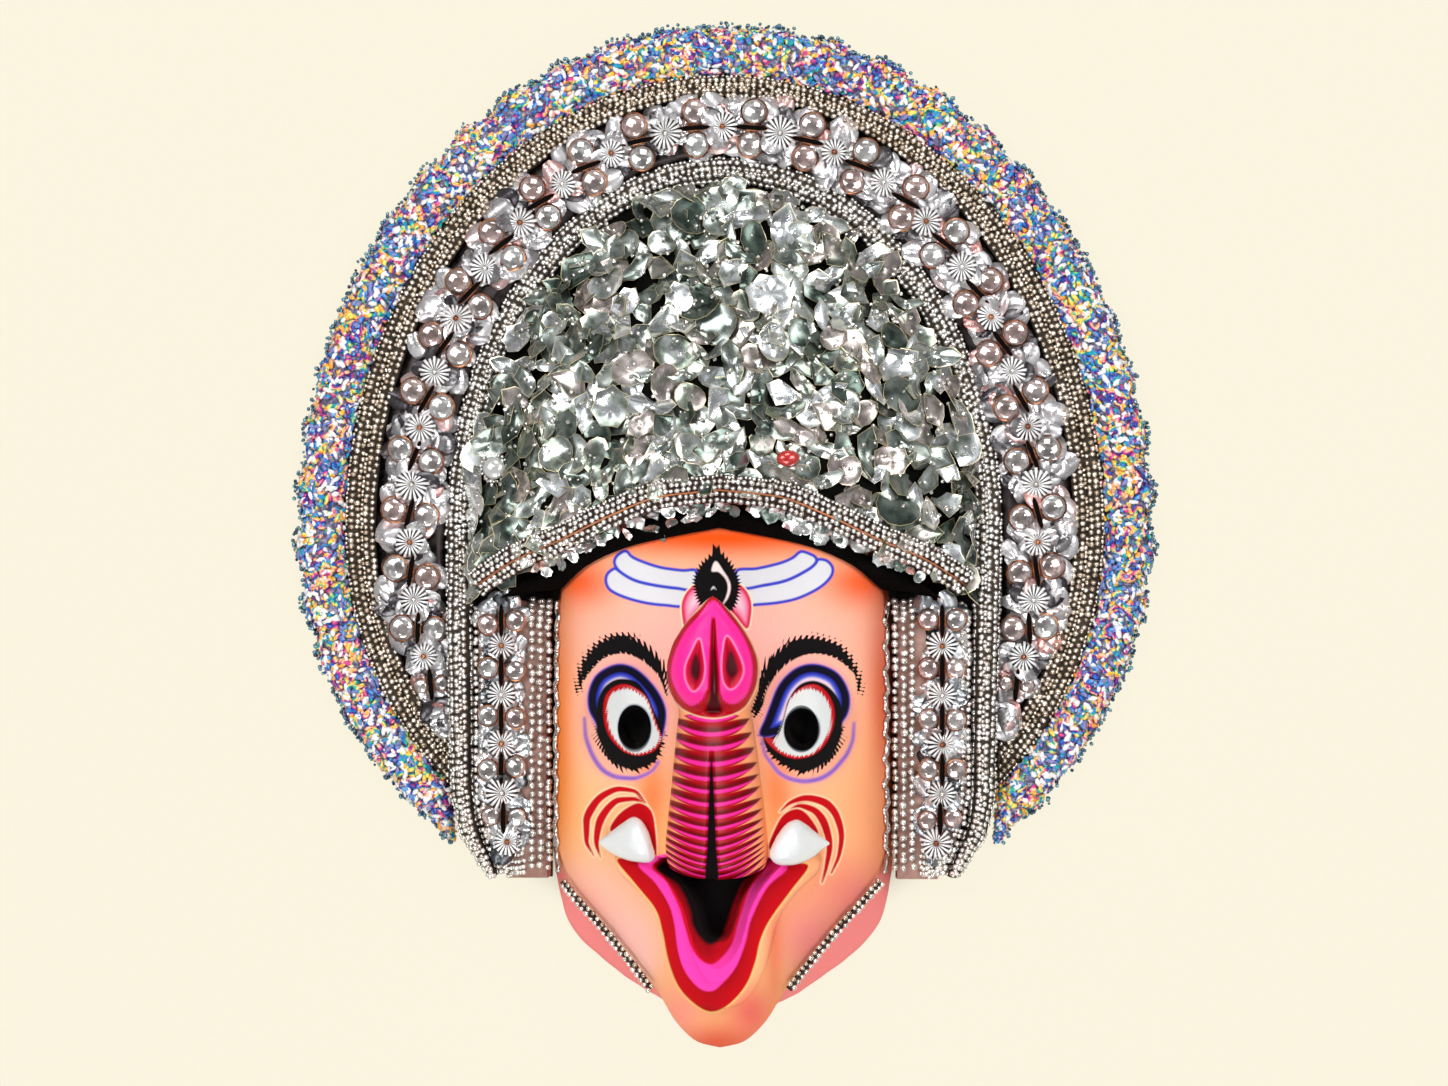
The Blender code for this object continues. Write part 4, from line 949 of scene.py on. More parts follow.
def pierce(made):
    """Cuts the two oval pupils through the shell with cones and keeps the result."""
    sides = 48
    turn = np.arange(sides) / sides * TAU
    for side in (-1, 1):
        cone = []
        for a, b, z in ((6.4, 8.8, 50), (6.4, 8.8, 58), (9.7, 13.3, 84), (9.9, 13.5, 95)):
            cone.append(np.stack([side * PUPIL_X + a * np.cos(turn),
                                  PUPIL_Y + b * np.sin(turn), np.full(sides, z)], 1))
        points = np.vstack(cone)
        mesh = bpy.data.meshes.new("pupil_cutter")
        faces = [tuple(f) for f in grid(len(cone), sides)] + [
            tuple(range(sides - 1, -1, -1)), tuple(range(len(points) - sides, len(points)))]
        mesh.from_pydata((points * MM).tolist(), [], faces)
        cutter = linked("pupil_cutter", mesh)
        cut = made.modifiers.new("pupil", "BOOLEAN")
        cut.operation = "DIFFERENCE"
        cut.solver = "EXACT"
        cut.object = cutter
        bpy.context.view_layer.update()
        ready = bpy.data.meshes.new_from_object(
            made.evaluated_get(bpy.context.evaluated_depsgraph_get()))
        old = made.data
        made.modifiers.clear()
        made.data = ready
        ready.name = made.name
        bpy.data.objects.remove(cutter)
        bpy.data.meshes.remove(mesh)
        bpy.data.meshes.remove(old)


def where(mesh):
    """A mesh's points in mm."""
    flat = np.empty(len(mesh.vertices) * 3, np.float32)
    mesh.vertices.foreach_get("co", flat)
    return flat.reshape(-1, 3).astype(float) / MM


def make_face():
    """The shell with its pierced pupils, the depths of its painted figures and its blush."""
    look = painted("painted_face", FACE_LAYERS, FACE_LASHES, roughness=0.32, coat=0.22)
    plain, n, shader = new_look("papier_mache_inside", 0.8)
    surface(n, shader, *shaded(n, ink(196, 180, 156), 0.2, 40.0), 0.6, 0.001)
    points, faces, picks = face_shell()
    made = piece("painted_face", points, faces, [look, plain], picks,
                 replaces=["face_shell"], slot="painted_face")
    pierce(made)
    mesh = made.data
    mesh.set_sharp_from_angle(angle=math.radians(50))
    points = where(mesh)
    d = drawn(points)
    data = face_inks(d)
    for name in data:
        data[name] = np.where(points[:, 2] > BARE_BELOW, data[name], FAR)
    turn = np.arctan2(points[:, 1] - FACE_CENTRE_Y, points[:, 0])
    past = np.hypot(points[:, 0], points[:, 1] - FACE_CENTRE_Y) - radius_at(FACE_EDGE, turn)
    flange = (smooth((past + 0.4) / 1.2) * smooth((-180 - points[:, 1]) / 12))[:, None]
    # The tone holds painted light and shade as well as blush: lighter left, darker right.
    data["tone"] = blobs(d, PEACH, FACE_BLUSH_AND_PAINTED_LIGHT) * (1 - flange) + np.array(JAW_PINK[:3]) * flange
    data["drawn"] = np.c_[d, np.zeros(len(d))]
    note(mesh, data)


def make_trunk():
    """Raised trunk: ovals across the mask from its root to the pointed, grooved tip.

    Each oval is a superellipse whose points lie closest together on its upper side; the
    groove, the split of the tip and the nostrils are taken from the upper half's height.
    """
    stations = np.array(TRUNK)
    along = np.r_[np.linspace(0, 0.06, 26)[:-1], np.linspace(0.06, 0.96, 300),
                  np.linspace(0.96, 1, 24)[1:]]
    y = -185.5 + 150.3 * along
    half, top, under = (through(list(zip(stations[:, 0], stations[:, c])), y)
                        for c in (1, 2, 3))
    upper = np.sort(np.r_[np.linspace(0, math.pi, 50), np.arccos(np.linspace(0.97, -0.97, 90))])
    turn = np.r_[upper, np.linspace(math.pi, TAU, 32)[1:-1]]
    around = len(turn)
    power = 0.9
    across = np.sign(np.cos(turn)) * np.abs(np.cos(turn)) ** power
    up = np.sign(np.sin(turn)) * np.abs(np.sin(turn)) ** power
    points = np.stack([half[:, None] * across, np.repeat(y[:, None], around, 1),
                       ((top + under) / 2)[:, None] + ((top - under) / 2)[:, None] * up],
                      -1).reshape(-1, 3)
    d = drawn(points)
    edge = np.interp(d[:, 1], [700, 720, 760, 800, 860], [40, 37, 44, 49, 53])
    sag = np.interp(d[:, 1], [710, 760, 820, 860], [12, 13, 18, 26])
    ring = np.interp(d[:, 1] + sag * np.abs((d[:, 0] - TRUNK_X) / edge) ** 2, RING_CENTRES,
                     np.arange(len(RING_CENTRES)))
    high = np.tile(np.clip(up, 0, 1) ** 0.5, len(y))
    body = smooth((d[:, 1] - 716) / 10)
    groove = filled(d, TRUNK_GROOVE, 20)
    points[:, 2] += high * body * 0.12 * np.cos(TAU * ring) * (1 - smooth((groove + 3.5) / 4))
    points[:, 2] -= high * 2.2 * smooth((groove + 2.5) / 5)
    split = filled(d, HEART_GROOVE, 20)
    points[:, 2] -= high * 2.6 * smooth((split + 3.0) / 6)
    holes = most(*(filled(d, shape, 20) for shape in NOSTRILS))
    points[:, 2] -= high * 3.0 * smooth((holes + 1) / 8)
    rim = np.exp(-((filled(d, HEART, 20) - 6.5) / 3.0) ** 2)
    points[:, 2] -= high * 0.5 * rim
    data = {"ring": ring, "heart": filled(d, HEART), "heart_pink": filled(d, HEART_PINK),
            "heart_groove": split, "nostrils": holes, "groove": groove,
            "holes": most(*(filled(d, shape) for shape in NOSTRIL_HOLES)),
            "side": np.clip(np.abs(d[:, 0] - TRUNK_X) / edge, 0, 1.2),
            "drawn": np.c_[d, np.zeros(len(d))],
            "tone": blobs(d, ink(250, 160, 108), [
                (652, 800, 14, 90, ink(250, 112, 46), 0.8),
                (776, 800, 14, 90, ink(250, 112, 46), 0.8)])}
    points, faces = closed(points.reshape(len(y), around, 3), flip=True)
    points[-2:] = [0, -185.9, 86], [0, -35.0, 141.5]
    for name in data:
        data[name] = np.concatenate([data[name], data[name][[0, -1]]])
    piece("painted_trunk", points, faces, [trunk_look()], slot="painted_face", data=data,
          replaces=["face_shell"])


def trunk_look():
    """Dark red rings with pointed ends, a pink line in each, peach at the sides, the tip."""
    look, n, shader = new_look("painted_trunk", 0.36, coat_weight=0.06, coat_roughness=0.15,
                               specular_ior_level=0.15)
    ring, side = n.value("ring"), n.value("side")
    part = n.math("FRACT", n.math("ADD", ring, 0.5))
    off = n.math("ABSOLUTE", n.math("SUBTRACT", part, 0.5))
    upper = n.math("ABSOLUTE", n.math("SUBTRACT", n.math("FRACT", n.math("ADD", ring, 0.72)),
                                      0.5))
    taper = n.math("POWER", side, 3.4)
    dark = n.math("SUBTRACT", n.math("MULTIPLY_ADD", taper, -0.5, 0.56), upper)
    pink = n.math("SUBTRACT", n.math("MULTIPLY_ADD", taper, -0.17, 0.14), off)
    colour = n.vector("tone")
    drawn_at = n.vector("drawn")
    neck = n.math("SUBTRACT", 1.0, n.span(n.add("SeparateXYZ", {0: drawn_at}).outputs[1],
                                          712, 716))
    shade = n.mix(n.span(upper, 0.1, 0.5), ink(104, 0, 8), ink(172, 0, 18))
    for depth, paint, soft in ((dark, shade, 0.06), (pink, ink(250, 40, 150), 0.07)):
        colour = layered(n, colour, paint, n.math("SUBTRACT", depth, neck), 0.0, soft)
    for name, edge, paint, soft in (
            ("groove", 0.0, BLACK, 0.9), ("heart", -1.0, CREAM, 0.8),
            ("heart", 0.0, ink(178, 0, 22), 1.0), ("heart_pink", 0.0, HOT_PINK, 0.9),
            ("nostrils", -1.2, ink(255, 140, 196), 1.2),
            ("nostrils", 0.0, ink(206, 16, 60), 0.9), ("nostrils", 4.2, ink(140, 0, 24), 2.4),
            ("holes", 0.0, ink(60, 0, 10), 1.6), ("heart_groove", -2.0, DARK_RED, 1.6),
            ("heart_groove", 0.8, ink(70, 0, 6), 1.0)):
        depth = n.value(name)
        if name == "heart_pink":
            depth = haired(n, depth, drawn_at, (714.0, 660.0), 120.0, 0.9, 0.0)
        colour = layered(n, colour, paint, depth, edge, soft)
    surface(n, shader, *shaded(n, colour, 0.05, 40.0), 0.1, 0.0005)
    groove = n.value("groove")
    n.put(shader.inputs["Coat Weight"], n.span(groove, -1.5, 0.5, 0.06, 0.0))
    n.put(shader.inputs["Roughness"], n.span(groove, -1.5, 0.5, 0.36, 1.0))
    return look


def make_tusks():
    """Short fat horns: ovals between an upper and a lower outline, seated on the cheeks."""
    look, n, shader = new_look("white_enamel", 0.18, coat_weight=0.6, coat_roughness=0.05)
    surface(n, shader, *shaded(n, ink(226, 228, 229), 0.05, 90.0), 0.15, 0.0005)
    rows, sides = 44, 28
    at = np.linspace(0, 1, rows)
    turn = np.arange(sides) / sides * TAU
    outlines = {
        "left": [(655, 852, 858.5), (653, 845, 861), (649.5, 833, 862.8), (645, 824.5, 863.2),
                 (640, 819, 863), (634, 817, 862.4), (623, 823, 860), (611, 832, 855),
                 (602, 839, 849.5), (598, 843, 845.5)],
        "right": [(770.5, 850, 857), (773, 844, 861), (777, 836, 864), (783, 827.5, 865.6),
                  (790, 821.6, 865.8), (797, 819.6, 865), (806, 824.5, 862),
                  (816, 833, 856.5), (825, 840, 849), (829.5, 844, 846)]}
    for word, stations in outlines.items():
        place, top, foot = np.array(stations, float).T
        steps = np.linspace(0, 1, len(place))
        top, foot = (through(list(zip(steps, axis)), at) for axis in (top, foot))
        place = np.interp(at, steps, place)
        middle, half = (top + foot) / 2, (foot - top) / 2
        x, y = placed(np.stack([place, middle], 1), 92.0).T
        skin = face_height(x, y)
        rings = []
        for part in range(rows):
            radius = half[part] * UNIT * 0.955
            tall = radius * 0.82
            ring_y = y[part] + radius * np.cos(turn)
            ring_z = skin[part] + 5.0 + 2.6 * at[part] + tall * np.sin(turn)
            rings.append(np.c_[np.full(sides, x[part]), ring_y, ring_z])
        points, faces = closed(np.stack(rings), flip=word == "left")
        piece(f"enamel_tusk_{word}", points, faces, [look], slot="white_enamel",
              replaces=[f"tusk_{word}"])


# ---------------------------------------------------------------- the headdress
def bead_shape():
    """One bead: a ball of 8 sides and 3 bands."""
    turn = np.radians([-67.5, -30, 30, 67.5])
    return revolved(list(zip(np.cos(turn), np.sin(turn))), 8)


BEAD = bead_shape()


def bead_row(heap, path, radius, gap=1.0, pick=0, wobble=0.2, missing=0.0):
    """Beads side by side along a line of (x, y, z), a little uneven in size and place."""
    path = np.asarray(path, float)
    length = np.r_[0, np.cumsum(np.linalg.norm(np.diff(path, axis=0), axis=1))]
    count = max(2, int(length[-1] / (2 * radius * gap)))
    at = (np.arange(count) + rng.random()) / count * length[-1]
    at = at + rng.normal(0, 0.12 * radius, count)
    spots = np.stack([np.interp(at, length, axis) for axis in path.T], 1)
    spots += rng.normal(0, wobble * radius, spots.shape)
    keep = rng.random(count) >= missing
    spots = spots[keep]
    turned = frames(rng.normal(size=(len(spots), 3)) + [0, 0, 2])
    sizes = radius * rng.uniform(0.86, 1.1, (len(spots), 3)) \
        * rng.uniform(0.88, 1.1, (len(spots), 1))
    heap.copies(BEAD, spots, turned, sizes, pick)


def rows_between(heap, inside, outside, shares, radius, height, **more):
    """Bead rows at shares of the way across a band, on its surface height(share, line)."""
    for share in shares:
        line = inside * (1 - share) + outside * share
        bead_row(heap, np.c_[line, height(share, line)], radius, **more)


def band_skin(inside, outside, height, across, base=BOARD_FRONT):
    """Closed skin of a band: a crowned top between two lines over a flat underside."""
    u = np.linspace(0, 1, across)
    flat = between(inside, outside, u)
    top = np.stack([height(share, flat[:, i]) for i, share in enumerate(u)], 1)
    under = np.broadcast_to(np.reshape(base, (-1, 1)), top.shape)
    return closed(np.concatenate([raised(flat, top), raised(flat[:, ::-1], under)], 1))


def halo_lines(size, tail, shift):
    """A left-to-right halo line, moved outwards by a distance."""
    line = both_sides(even(halo_half(size, 90, tail), 420))
    return line + outward(line) * shift


def tinsel_look():
    """Holographic tinsel: strong colours in patches that jump from bit to bit."""
    look, n, shader = new_look("rainbow_tinsel", 0.3, 0.0, specular_ior_level=0.35)
    tint = n.value("tint")
    drift = n.math("MULTIPLY", n.noise(46.0, 2.0, 0.6), 4.5)
    share = n.math("FRACT", n.math("MULTIPLY_ADD", tint, 0.55, drift))
    colour = n.ramp(share, [
        (0.0, ink(110, 190, 236)), (0.1, ink(8, 96, 196)), (0.2, ink(70, 36, 130)),
        (0.3, ink(230, 70, 140)), (0.4, ink(250, 214, 170)), (0.5, ink(252, 150, 10)),
        (0.6, ink(255, 236, 110)), (0.7, ink(20, 176, 150)), (0.8, ink(10, 130, 210)),
        (0.9, ink(140, 128, 180))])
    pale = n.math("GREATER_THAN", n.math("FRACT", n.math("MULTIPLY", tint, 17.0)), 0.74)
    colour = n.mix(n.math("MULTIPLY", pale, 0.9), colour, ink(250, 250, 248))
    n.put(shader.inputs["Base Color"], colour)
    return look


def rope_look():
    """Core of the tinsel rope: mottled violet grey between the bits."""
    look, n, shader = new_look("tinsel_core", 0.6, 0.3)
    colour = n.ramp(n.noise(420.0, 3.0, 0.7), [(0.3, ink(40, 44, 70)), (0.5, ink(110, 108, 140)),
                                               (0.7, ink(190, 180, 200))])
    surface(n, shader, colour, n.noise(500.0, 3.0), 0.9, 0.0015)
    return look


def metal_look(name, light, dark, roughness=0.25, size=300.0, metallic=1.0):
    """Plated metal or foil whose pieces differ a little, with tarnish in its hollows."""
    look, n, shader = new_look(name, roughness, metallic)
    patch = n.noise(size, 3.0, 0.6)
    share = n.math("MULTIPLY_ADD", n.value("tint"), 0.6, n.math("MULTIPLY", patch, 0.4))
    surface(n, shader, n.ramp(share, [(0.15, dark), (0.75, light)]), patch, 0.15, 0.0004)
    n.put(shader.inputs["Roughness"], n.span(patch, 0.3, 0.7, roughness * 0.8,
                                             min(1.0, roughness * 1.6)))
    return look


def cloth_look(name, light, dark, thread=900.0, roughness=0.85):
    """Woven backing: two crossed thread waves over a mottled ground."""
    look, n, shader = new_look(name, roughness, specular_ior_level=0.05)
    place = n.place()
    waves = []
    for direction in ("X", "Y"):
        waves.append(n.add("TexWave", {"Vector": place, "Scale": thread, "Distortion": 1.5},
                           bands_direction=direction).outputs["Fac"])
    weave = n.math("MULTIPLY", waves[0], waves[1])
    share = n.math("MULTIPLY_ADD", weave, 0.5, n.math("MULTIPLY", n.noise(90.0), 0.6))
    surface(n, shader, n.ramp(share, [(0.2, dark), (0.75, light)]), weave, 0.5, 0.0004)
    return look


def make_fringe(looks):
    """Rope of tinsel: a scalloped fat core, plump bits laid all over it, tiny edge beads."""
    outer_half = halo_arc(FRINGE_OUTER, EDGE_X + 0.9)
    tail = [(EDGE_X + 0.5, outer_half[-1, 1] + 1.5)]
    inner_half = halo_arc(FRINGE_INNER, EDGE_X + 0.5, tail)
    outside, inside = (both_sides(even(half, 500)) for half in (outer_half, inner_half))
    inside = inside + outward(inside) * 0.3
    gap = np.linalg.norm(outside - inside, axis=1)
    away = (outside - inside) / gap[:, None]
    step = np.arange(len(outside))
    lobes = 1.4 * np.cos(step / len(step) * TAU * 38) + 0.9 * np.sin(step * 0.21)
    outside = outside - away * (4.6 - 0.9 * lobes)[:, None]
    tall = np.minimum(21.0, 5 + gap * 0.62)
    turn = np.linspace(0, math.pi, 17)
    u = (1 - np.cos(turn)) / 2
    rise = np.sin(turn) ** 0.6
    flat = between(inside, outside, u)
    top = raised(flat, 1.5 + (tall[:, None] - 3.4) * rise[None])
    points, faces = closed(np.concatenate([top, raised(flat[:, ::-1], 0.6)], 1))
    piece("fringe_core", points, faces, [looks["core"]], replaces=["tinsel_fringe"],
          slot="rainbow_tinsel")
    heap = Heap()
    for shape, number, lift in ((spindle_shape(), 4600, 0.2), (bit_shape(), 5000, 1.1)):
        low = rng.integers(0, len(outside) - 1, number)
        part = rng.beta(0.9, 0.9, number) * math.pi
        share = (1 - np.cos(part)) / 2
        spot = inside[low] + (outside[low] - inside[low]) * share[:, None]
        high = 1.5 + (tall[low] - 3.2) * np.sin(part) ** 0.6
        normal = np.c_[away[low] * np.cos(math.pi - part)[:, None], np.sin(part)]
        turned = frames(normal + rng.normal(0, 0.3, (number, 3)), rng.normal(size=(number, 3)))
        spots = np.c_[spot, high] \
            + turned[:, :, 2] * (lift + rng.uniform(-0.5, 0.7, number))[:, None]
        sizes = np.c_[rng.uniform(3.9, 6.6, number), rng.uniform(2.6, 3.7, number),
                      rng.uniform(1.8, 2.6, number)]
        spots[:, 2] = np.maximum(spots[:, 2], 3.4)
        heap.copies(shape, spots, turned, sizes, 0)
    heap.made("tinsel_bits", [looks["tinsel"]], slot="rainbow_tinsel",
              replaces=["tinsel_fringe"])
    heap = Heap()
    edge = outside + away * 2.2
    beads = 1100
    pick = rng.integers(0, len(edge), beads)
    spots = np.c_[edge[pick] + rng.normal(0, 0.8, (beads, 2)), rng.uniform(3, 15, beads)]
    heap.copies(BEAD, spots, frames(rng.normal(size=(beads, 3)) + [0, 0, 1]),
                rng.uniform(0.8, 1.3, beads), 0)
    heap.made("fringe_edge_beads", [looks["seed"]], slot="rainbow_tinsel",
              replaces=["tinsel_fringe"])


def make_halo_beads(looks):
    """Outer band of bead strings between the fringe and the sequins."""
    inside, outside = (both_sides(even(halo_arc(size, EDGE_X + 0.5), 420))
                       for size in (OUTER_BEADS_INNER, FRINGE_INNER))
    inside = inside + outward(inside) * 0.2
    outside = outside - outward(outside) * 0.2

    def height(share, line):
        two = abs(math.sin(math.pi * (0.06 + 1.94 * min(share, 0.97))))
        return np.full(len(line), 8.4 + 2.6 * two**0.6)

    points, faces = band_skin(inside, outside, height, 15)
    piece("outer_bead_backing", points, faces, [looks["backing"]], slot="silver_bead",
          replaces=["outer_bead_band"])
    heap = Heap()
    lift = lambda share, line: height(share, line) + 1.1
    rows_between(heap, inside, outside, (0.1, 0.295, 0.56, 0.755), 1.74, lift, wobble=0.14)
    rows_between(heap, inside, outside, (0.43, 0.91), 1.25, lift, wobble=0.14, missing=0.1)
    heap.made("outer_beads", [looks["bronze"]], slot="silver_bead",
              replaces=["outer_bead_band"])


def roll_lines():
    """Inner and outer lines of the roll that edges the crown and the side panels."""
    outer_tail = [(SEQUINS_INNER[0] - 1.6, -60), (EDGE_X, -118), (EDGE_X - 0.6, -146),
                  (143.5, -168), (128.5, -189.5)]
    inner_tail = [(134 + 1.6, -42), (134 + 0.6, -140), (134 - 1.5, -160), (121, -188)]
    return halo_lines(INNER_BEADS_INNER, inner_tail, 0.6), \
        halo_lines(SEQUINS_INNER, outer_tail, -0.3)


def make_inner_beads(looks):
    """Roll of bead strings round the crown that runs on down beside the panels."""
    inside, outside = roll_lines()

    def height(share, line):
        top = through([(-200, 34), (-60, 34), (-15, 17), (40, 14.2), (220, 14.2)], line[:, 1])
        crown = math.sin(math.pi * (0.06 + 0.88 * share)) ** 0.5
        return 7.5 + (top - 9.0) * crown

    points, faces = band_skin(inside, outside, height, 13)
    piece("inner_bead_backing", points, faces, [looks["backing"]], slot="silver_bead",
          replaces=["inner_bead_band"])
    heap = Heap()
    lift = lambda share, line: height(share, line) + 0.9
    rows_between(heap, inside, outside, (0.08, 0.31, 0.57, 0.8), 1.72, lift, wobble=0.16)
    rows_between(heap, inside, outside, (0.44, 0.97), 1.2, lift, wobble=0.2, missing=0.12)
    heap.made("inner_beads", [looks["bead"]], slot="silver_bead",
              replaces=["inner_bead_band"])


def spindle_shape():
    """A short plump bit of tinsel: an eight-faced spindle, bent a little."""
    return np.array([(-0.5, 0, -0.1), (0.5, 0, -0.1), (0.06, 0.5, 0), (-0.06, -0.5, 0),
                     (0, 0.05, 0.5), (0.02, -0.05, -0.5)]), \
        [np.array([(0, 3, 4), (3, 1, 4), (1, 2, 4), (2, 0, 4),
                   (3, 0, 5), (1, 3, 5), (2, 1, 5), (0, 2, 5)])]


def bit_shape():
    """A plump bit of tinsel: a long rounded bead of five sides, its length along x."""
    points, faces = revolved([(0.26, -0.46), (0.5, 0.02), (0.27, 0.45)], 5)
    return points[:, [2, 0, 1]], faces


def leaf_shape():
    """Broad satin petal: rows of three points that widen, round off and curl up."""
    t = np.linspace(0, 1, 7)
    wide = 0.5 * np.sin(math.pi * np.clip(t * 0.86 + 0.1, 0, 1)) ** 0.5
    top = np.stack([np.stack([t, side * wide, 0.13 * t**2 + 0.05 * abs(side) * t], 1)
                    for side in (-1, 0, 1)], 1)
    ring = np.concatenate([top, top[:, ::-1] - [0, 0, 0.03]], 1)
    return closed(ring, flip=True)


def chip_shapes():
    """Foil chips as (points, faces, rim share): bent shards, a pleated fan, a curled leaf.

    Each is a border ring, a ring just inside it, a middle ring and a centre; heights bend as
    b cos(2 turn) with pleats p cos(n turn / 2), n being how many corners it has.
    """
    made = []
    for reach, bend, pleat in (
            ([1.0, 0.62, 0.9, 0.95, 0.6, 0.85, 0.8], 0.17, 0.0),
            ([1.05, 0.95, 0.5, 0.62, 1.0, 0.7, 0.5, 0.6], 0.24, 0.0),
            ([1.0, 0.86] * 7, 0.1, 0.06),
            ([1.1, 0.9, 0.64, 0.56, 0.66, 0.92, 1.12, 0.88, 0.6, 0.52, 0.62, 0.9], 0.36, 0.0),
            ([0.9, 0.96, 0.98, 0.97, 0.93, 0.95, 0.97, 0.93, 0.9, 0.84, 0.76, 0.82], 0.14,
             0.0)):
        sides = len(reach)
        reach = np.array(reach)
        turn = np.arange(sides) / sides * TAU
        rings = []
        for share, lift in ((1.0, 0.02), (0.95, 0.0), (0.5, 0.0)):
            high = share**2 * bend * np.cos(2 * turn) + share * pleat * np.cos(sides / 2 * turn)
            rings.append(np.stack([share * reach * np.cos(turn), share * reach * np.sin(turn),
                                   high + lift], 1))
        low = rings[0] - [0, 0, 0.035]
        points = np.vstack(rings + [low, [[0, 0, 0.01], [0, 0, -0.03]]])
        tip = len(points) - 2
        c = np.arange(sides)
        d = (c + 1) % sides
        side = np.stack([c, c + 3 * sides, d + 3 * sides, d], -1)
        faces = [np.vstack([grid(3, sides), side]),
                 np.vstack([fan(2 * sides, sides, tip),
                            fan(3 * sides, sides, tip + 1, flip=True)])]
        rim = np.r_[np.ones(sides), np.zeros(2 * sides), np.full(sides, 0.45), 0, 0]
        made.append((points, faces, rim))
    return made


def chip_look():
    """Mirror foil chips: grey-green sheen that differs chip by chip, and a pale gilt edge."""
    look, n, shader = new_look("mirror_chips", 0.2, 0.85)
    tint = n.value("tint")
    patch = n.noise(90.0, 2.0, 0.5)
    share = n.math("MULTIPLY_ADD", tint, 0.62, n.math("MULTIPLY", patch, 0.38))
    colour = n.ramp(share, [
        (0.0, ink(30, 38, 34)), (0.22, ink(84, 98, 90)), (0.4, ink(184, 192, 186)),
        (0.56, ink(232, 236, 240)), (0.68, ink(118, 130, 116)), (0.8, ink(192, 180, 176)),
        (0.9, ink(60, 74, 68))])
    edge = n.span(n.value("rim"), 0.45, 0.85)
    colour = n.mix(edge, colour, ink(250, 232, 178))
    surface(n, shader, colour, n.noise(60.0, 0.0), 0.15, 0.0012)
    n.put(shader.inputs["Roughness"], n.math("MULTIPLY_ADD", edge, 0.2,
                                             n.span(patch, 0.3, 0.7, 0.14, 0.3)))
    return look


def crown_spots(spacing, limit):
    """Spots spread over the crown no closer than a spacing, and the way it faces there."""
    tries = 30000
    i, v = rng.random(tries), rng.uniform(0.02, 0.95, tries)
    spots = crown_surface(i, v)
    chosen = []
    for number in range(tries):
        near = spots[chosen]
        if not chosen or np.min(np.sum((near - spots[number]) ** 2, 1)) > spacing**2:
            chosen.append(number)
        if len(chosen) >= limit:
            break
    spots, i, v = spots[chosen], i[chosen], v[chosen]
    d = 0.004
    run = crown_surface(np.clip(i + d, 0, 1), v) - crown_surface(np.clip(i - d, 0, 1), v)
    down = crown_surface(i, np.clip(v + d, 0, 1)) - crown_surface(i, np.clip(v - d, 0, 1))
    normal = np.cross(down, run)
    normal /= np.linalg.norm(normal, axis=1)[:, None]
    return spots, normal * np.sign(normal[:, 2:])


# Gems of the crown: x, y, radius and how far they stand off it
GEM_PLACES = [(-123.2, 33.3, 6.4, 6.0), (37.2, 38.1, 6.4, 5.8)]


def make_gems(looks):
    """A clear gem in a bead ring and a red gem: flat-topped turned glass on the crown."""
    gems = Heap()
    cut = revolved([(0.8, -0.3), (1.0, 0.1), (0.85, 0.45), (0.5, 0.7), (0.2, 0.78)], 12)
    ground = crown_surface(np.linspace(0, 1, 400)[:, None].repeat(80, 1),
                           np.linspace(0, 1, 80)[None].repeat(400, 0)).reshape(-1, 3)
    for number, (x, y, radius, lift) in enumerate(GEM_PLACES):
        spot = ground[np.argmin(np.hypot(ground[:, 0] - x, ground[:, 1] - y))]
        gems.copies(cut, [spot + [0, 0, lift]], frames([[0.1 * number, 0.1, 1.0]]),
                    [[radius, radius * (1 - 0.3 * number), radius * 0.6]], number)
        if not number:
            turn = np.linspace(0, TAU, 60)
            rim = np.c_[spot[0] + 7.4 * np.cos(turn), spot[1] + 7.4 * np.sin(turn),
                        np.full(60, spot[2] + lift + 0.6)]
            bead_row(gems, rim, 0.95, 1.1, 2)
    gems.made("crown_gems", [looks["clear_gem"], looks["red_gem"], looks["bead"]],
              slot="mirror_chips", replaces=["crown_dome"])


def satin_look(name, light, dark, grey, metallic):
    """Soft foil whose petals run from white to a flush of colour; the few grey ones are painted
    shade among the overlapping pieces.
    """
    look, n, shader = new_look(name, 0.25, metallic)
    patch = n.noise(80.0, 2.0, 0.5)
    share = n.math("MULTIPLY_ADD", n.value("tint"), 0.8, n.math("MULTIPLY", patch, 0.3))
    # The grey stop is painted shade among the overlapping petals.
    colour = n.ramp(share, [(0.22, grey), (0.46, light), (0.8, light), (0.95, dark)])
    surface(n, shader, colour, n.noise(260.0, 2.0), 0.3, 0.0008)
    n.put(shader.inputs["Roughness"], n.span(patch, 0.3, 0.7, 0.2, 0.36))
    return look


def button_look():
    """Clear domed button over foil with a pale middle.

    Its copper-brown edge, where the dome turns away from the eye, and its grey patches are
    painted reflection and shade of the clear dome.
    """
    look, n, shader = new_look("clear_button", 0.1, 0.7, coat_weight=0.6, coat_roughness=0.03)
    # Painted reflection and shade: the colour darkens to copper-brown where the dome turns away.
    facing = n.add("LayerWeight", {"Blend": 0.42}).outputs["Facing"]
    tone = n.mix(n.span(n.value("tint"), 0.2, 0.9), ink(236, 236, 234), ink(226, 196, 190))
    # Grey patches over the dome: painted reflection.
    patch = n.noise(110.0, 2.0, 0.5)
    tone = n.mix(n.span(patch, 0.35, 0.65, 0.0, 0.75), tone, ink(132, 122, 120))
    n.put(shader.inputs["Base Color"], n.mix(n.span(facing, 0.3, 0.9), tone, ink(96, 50, 40)))
    return look


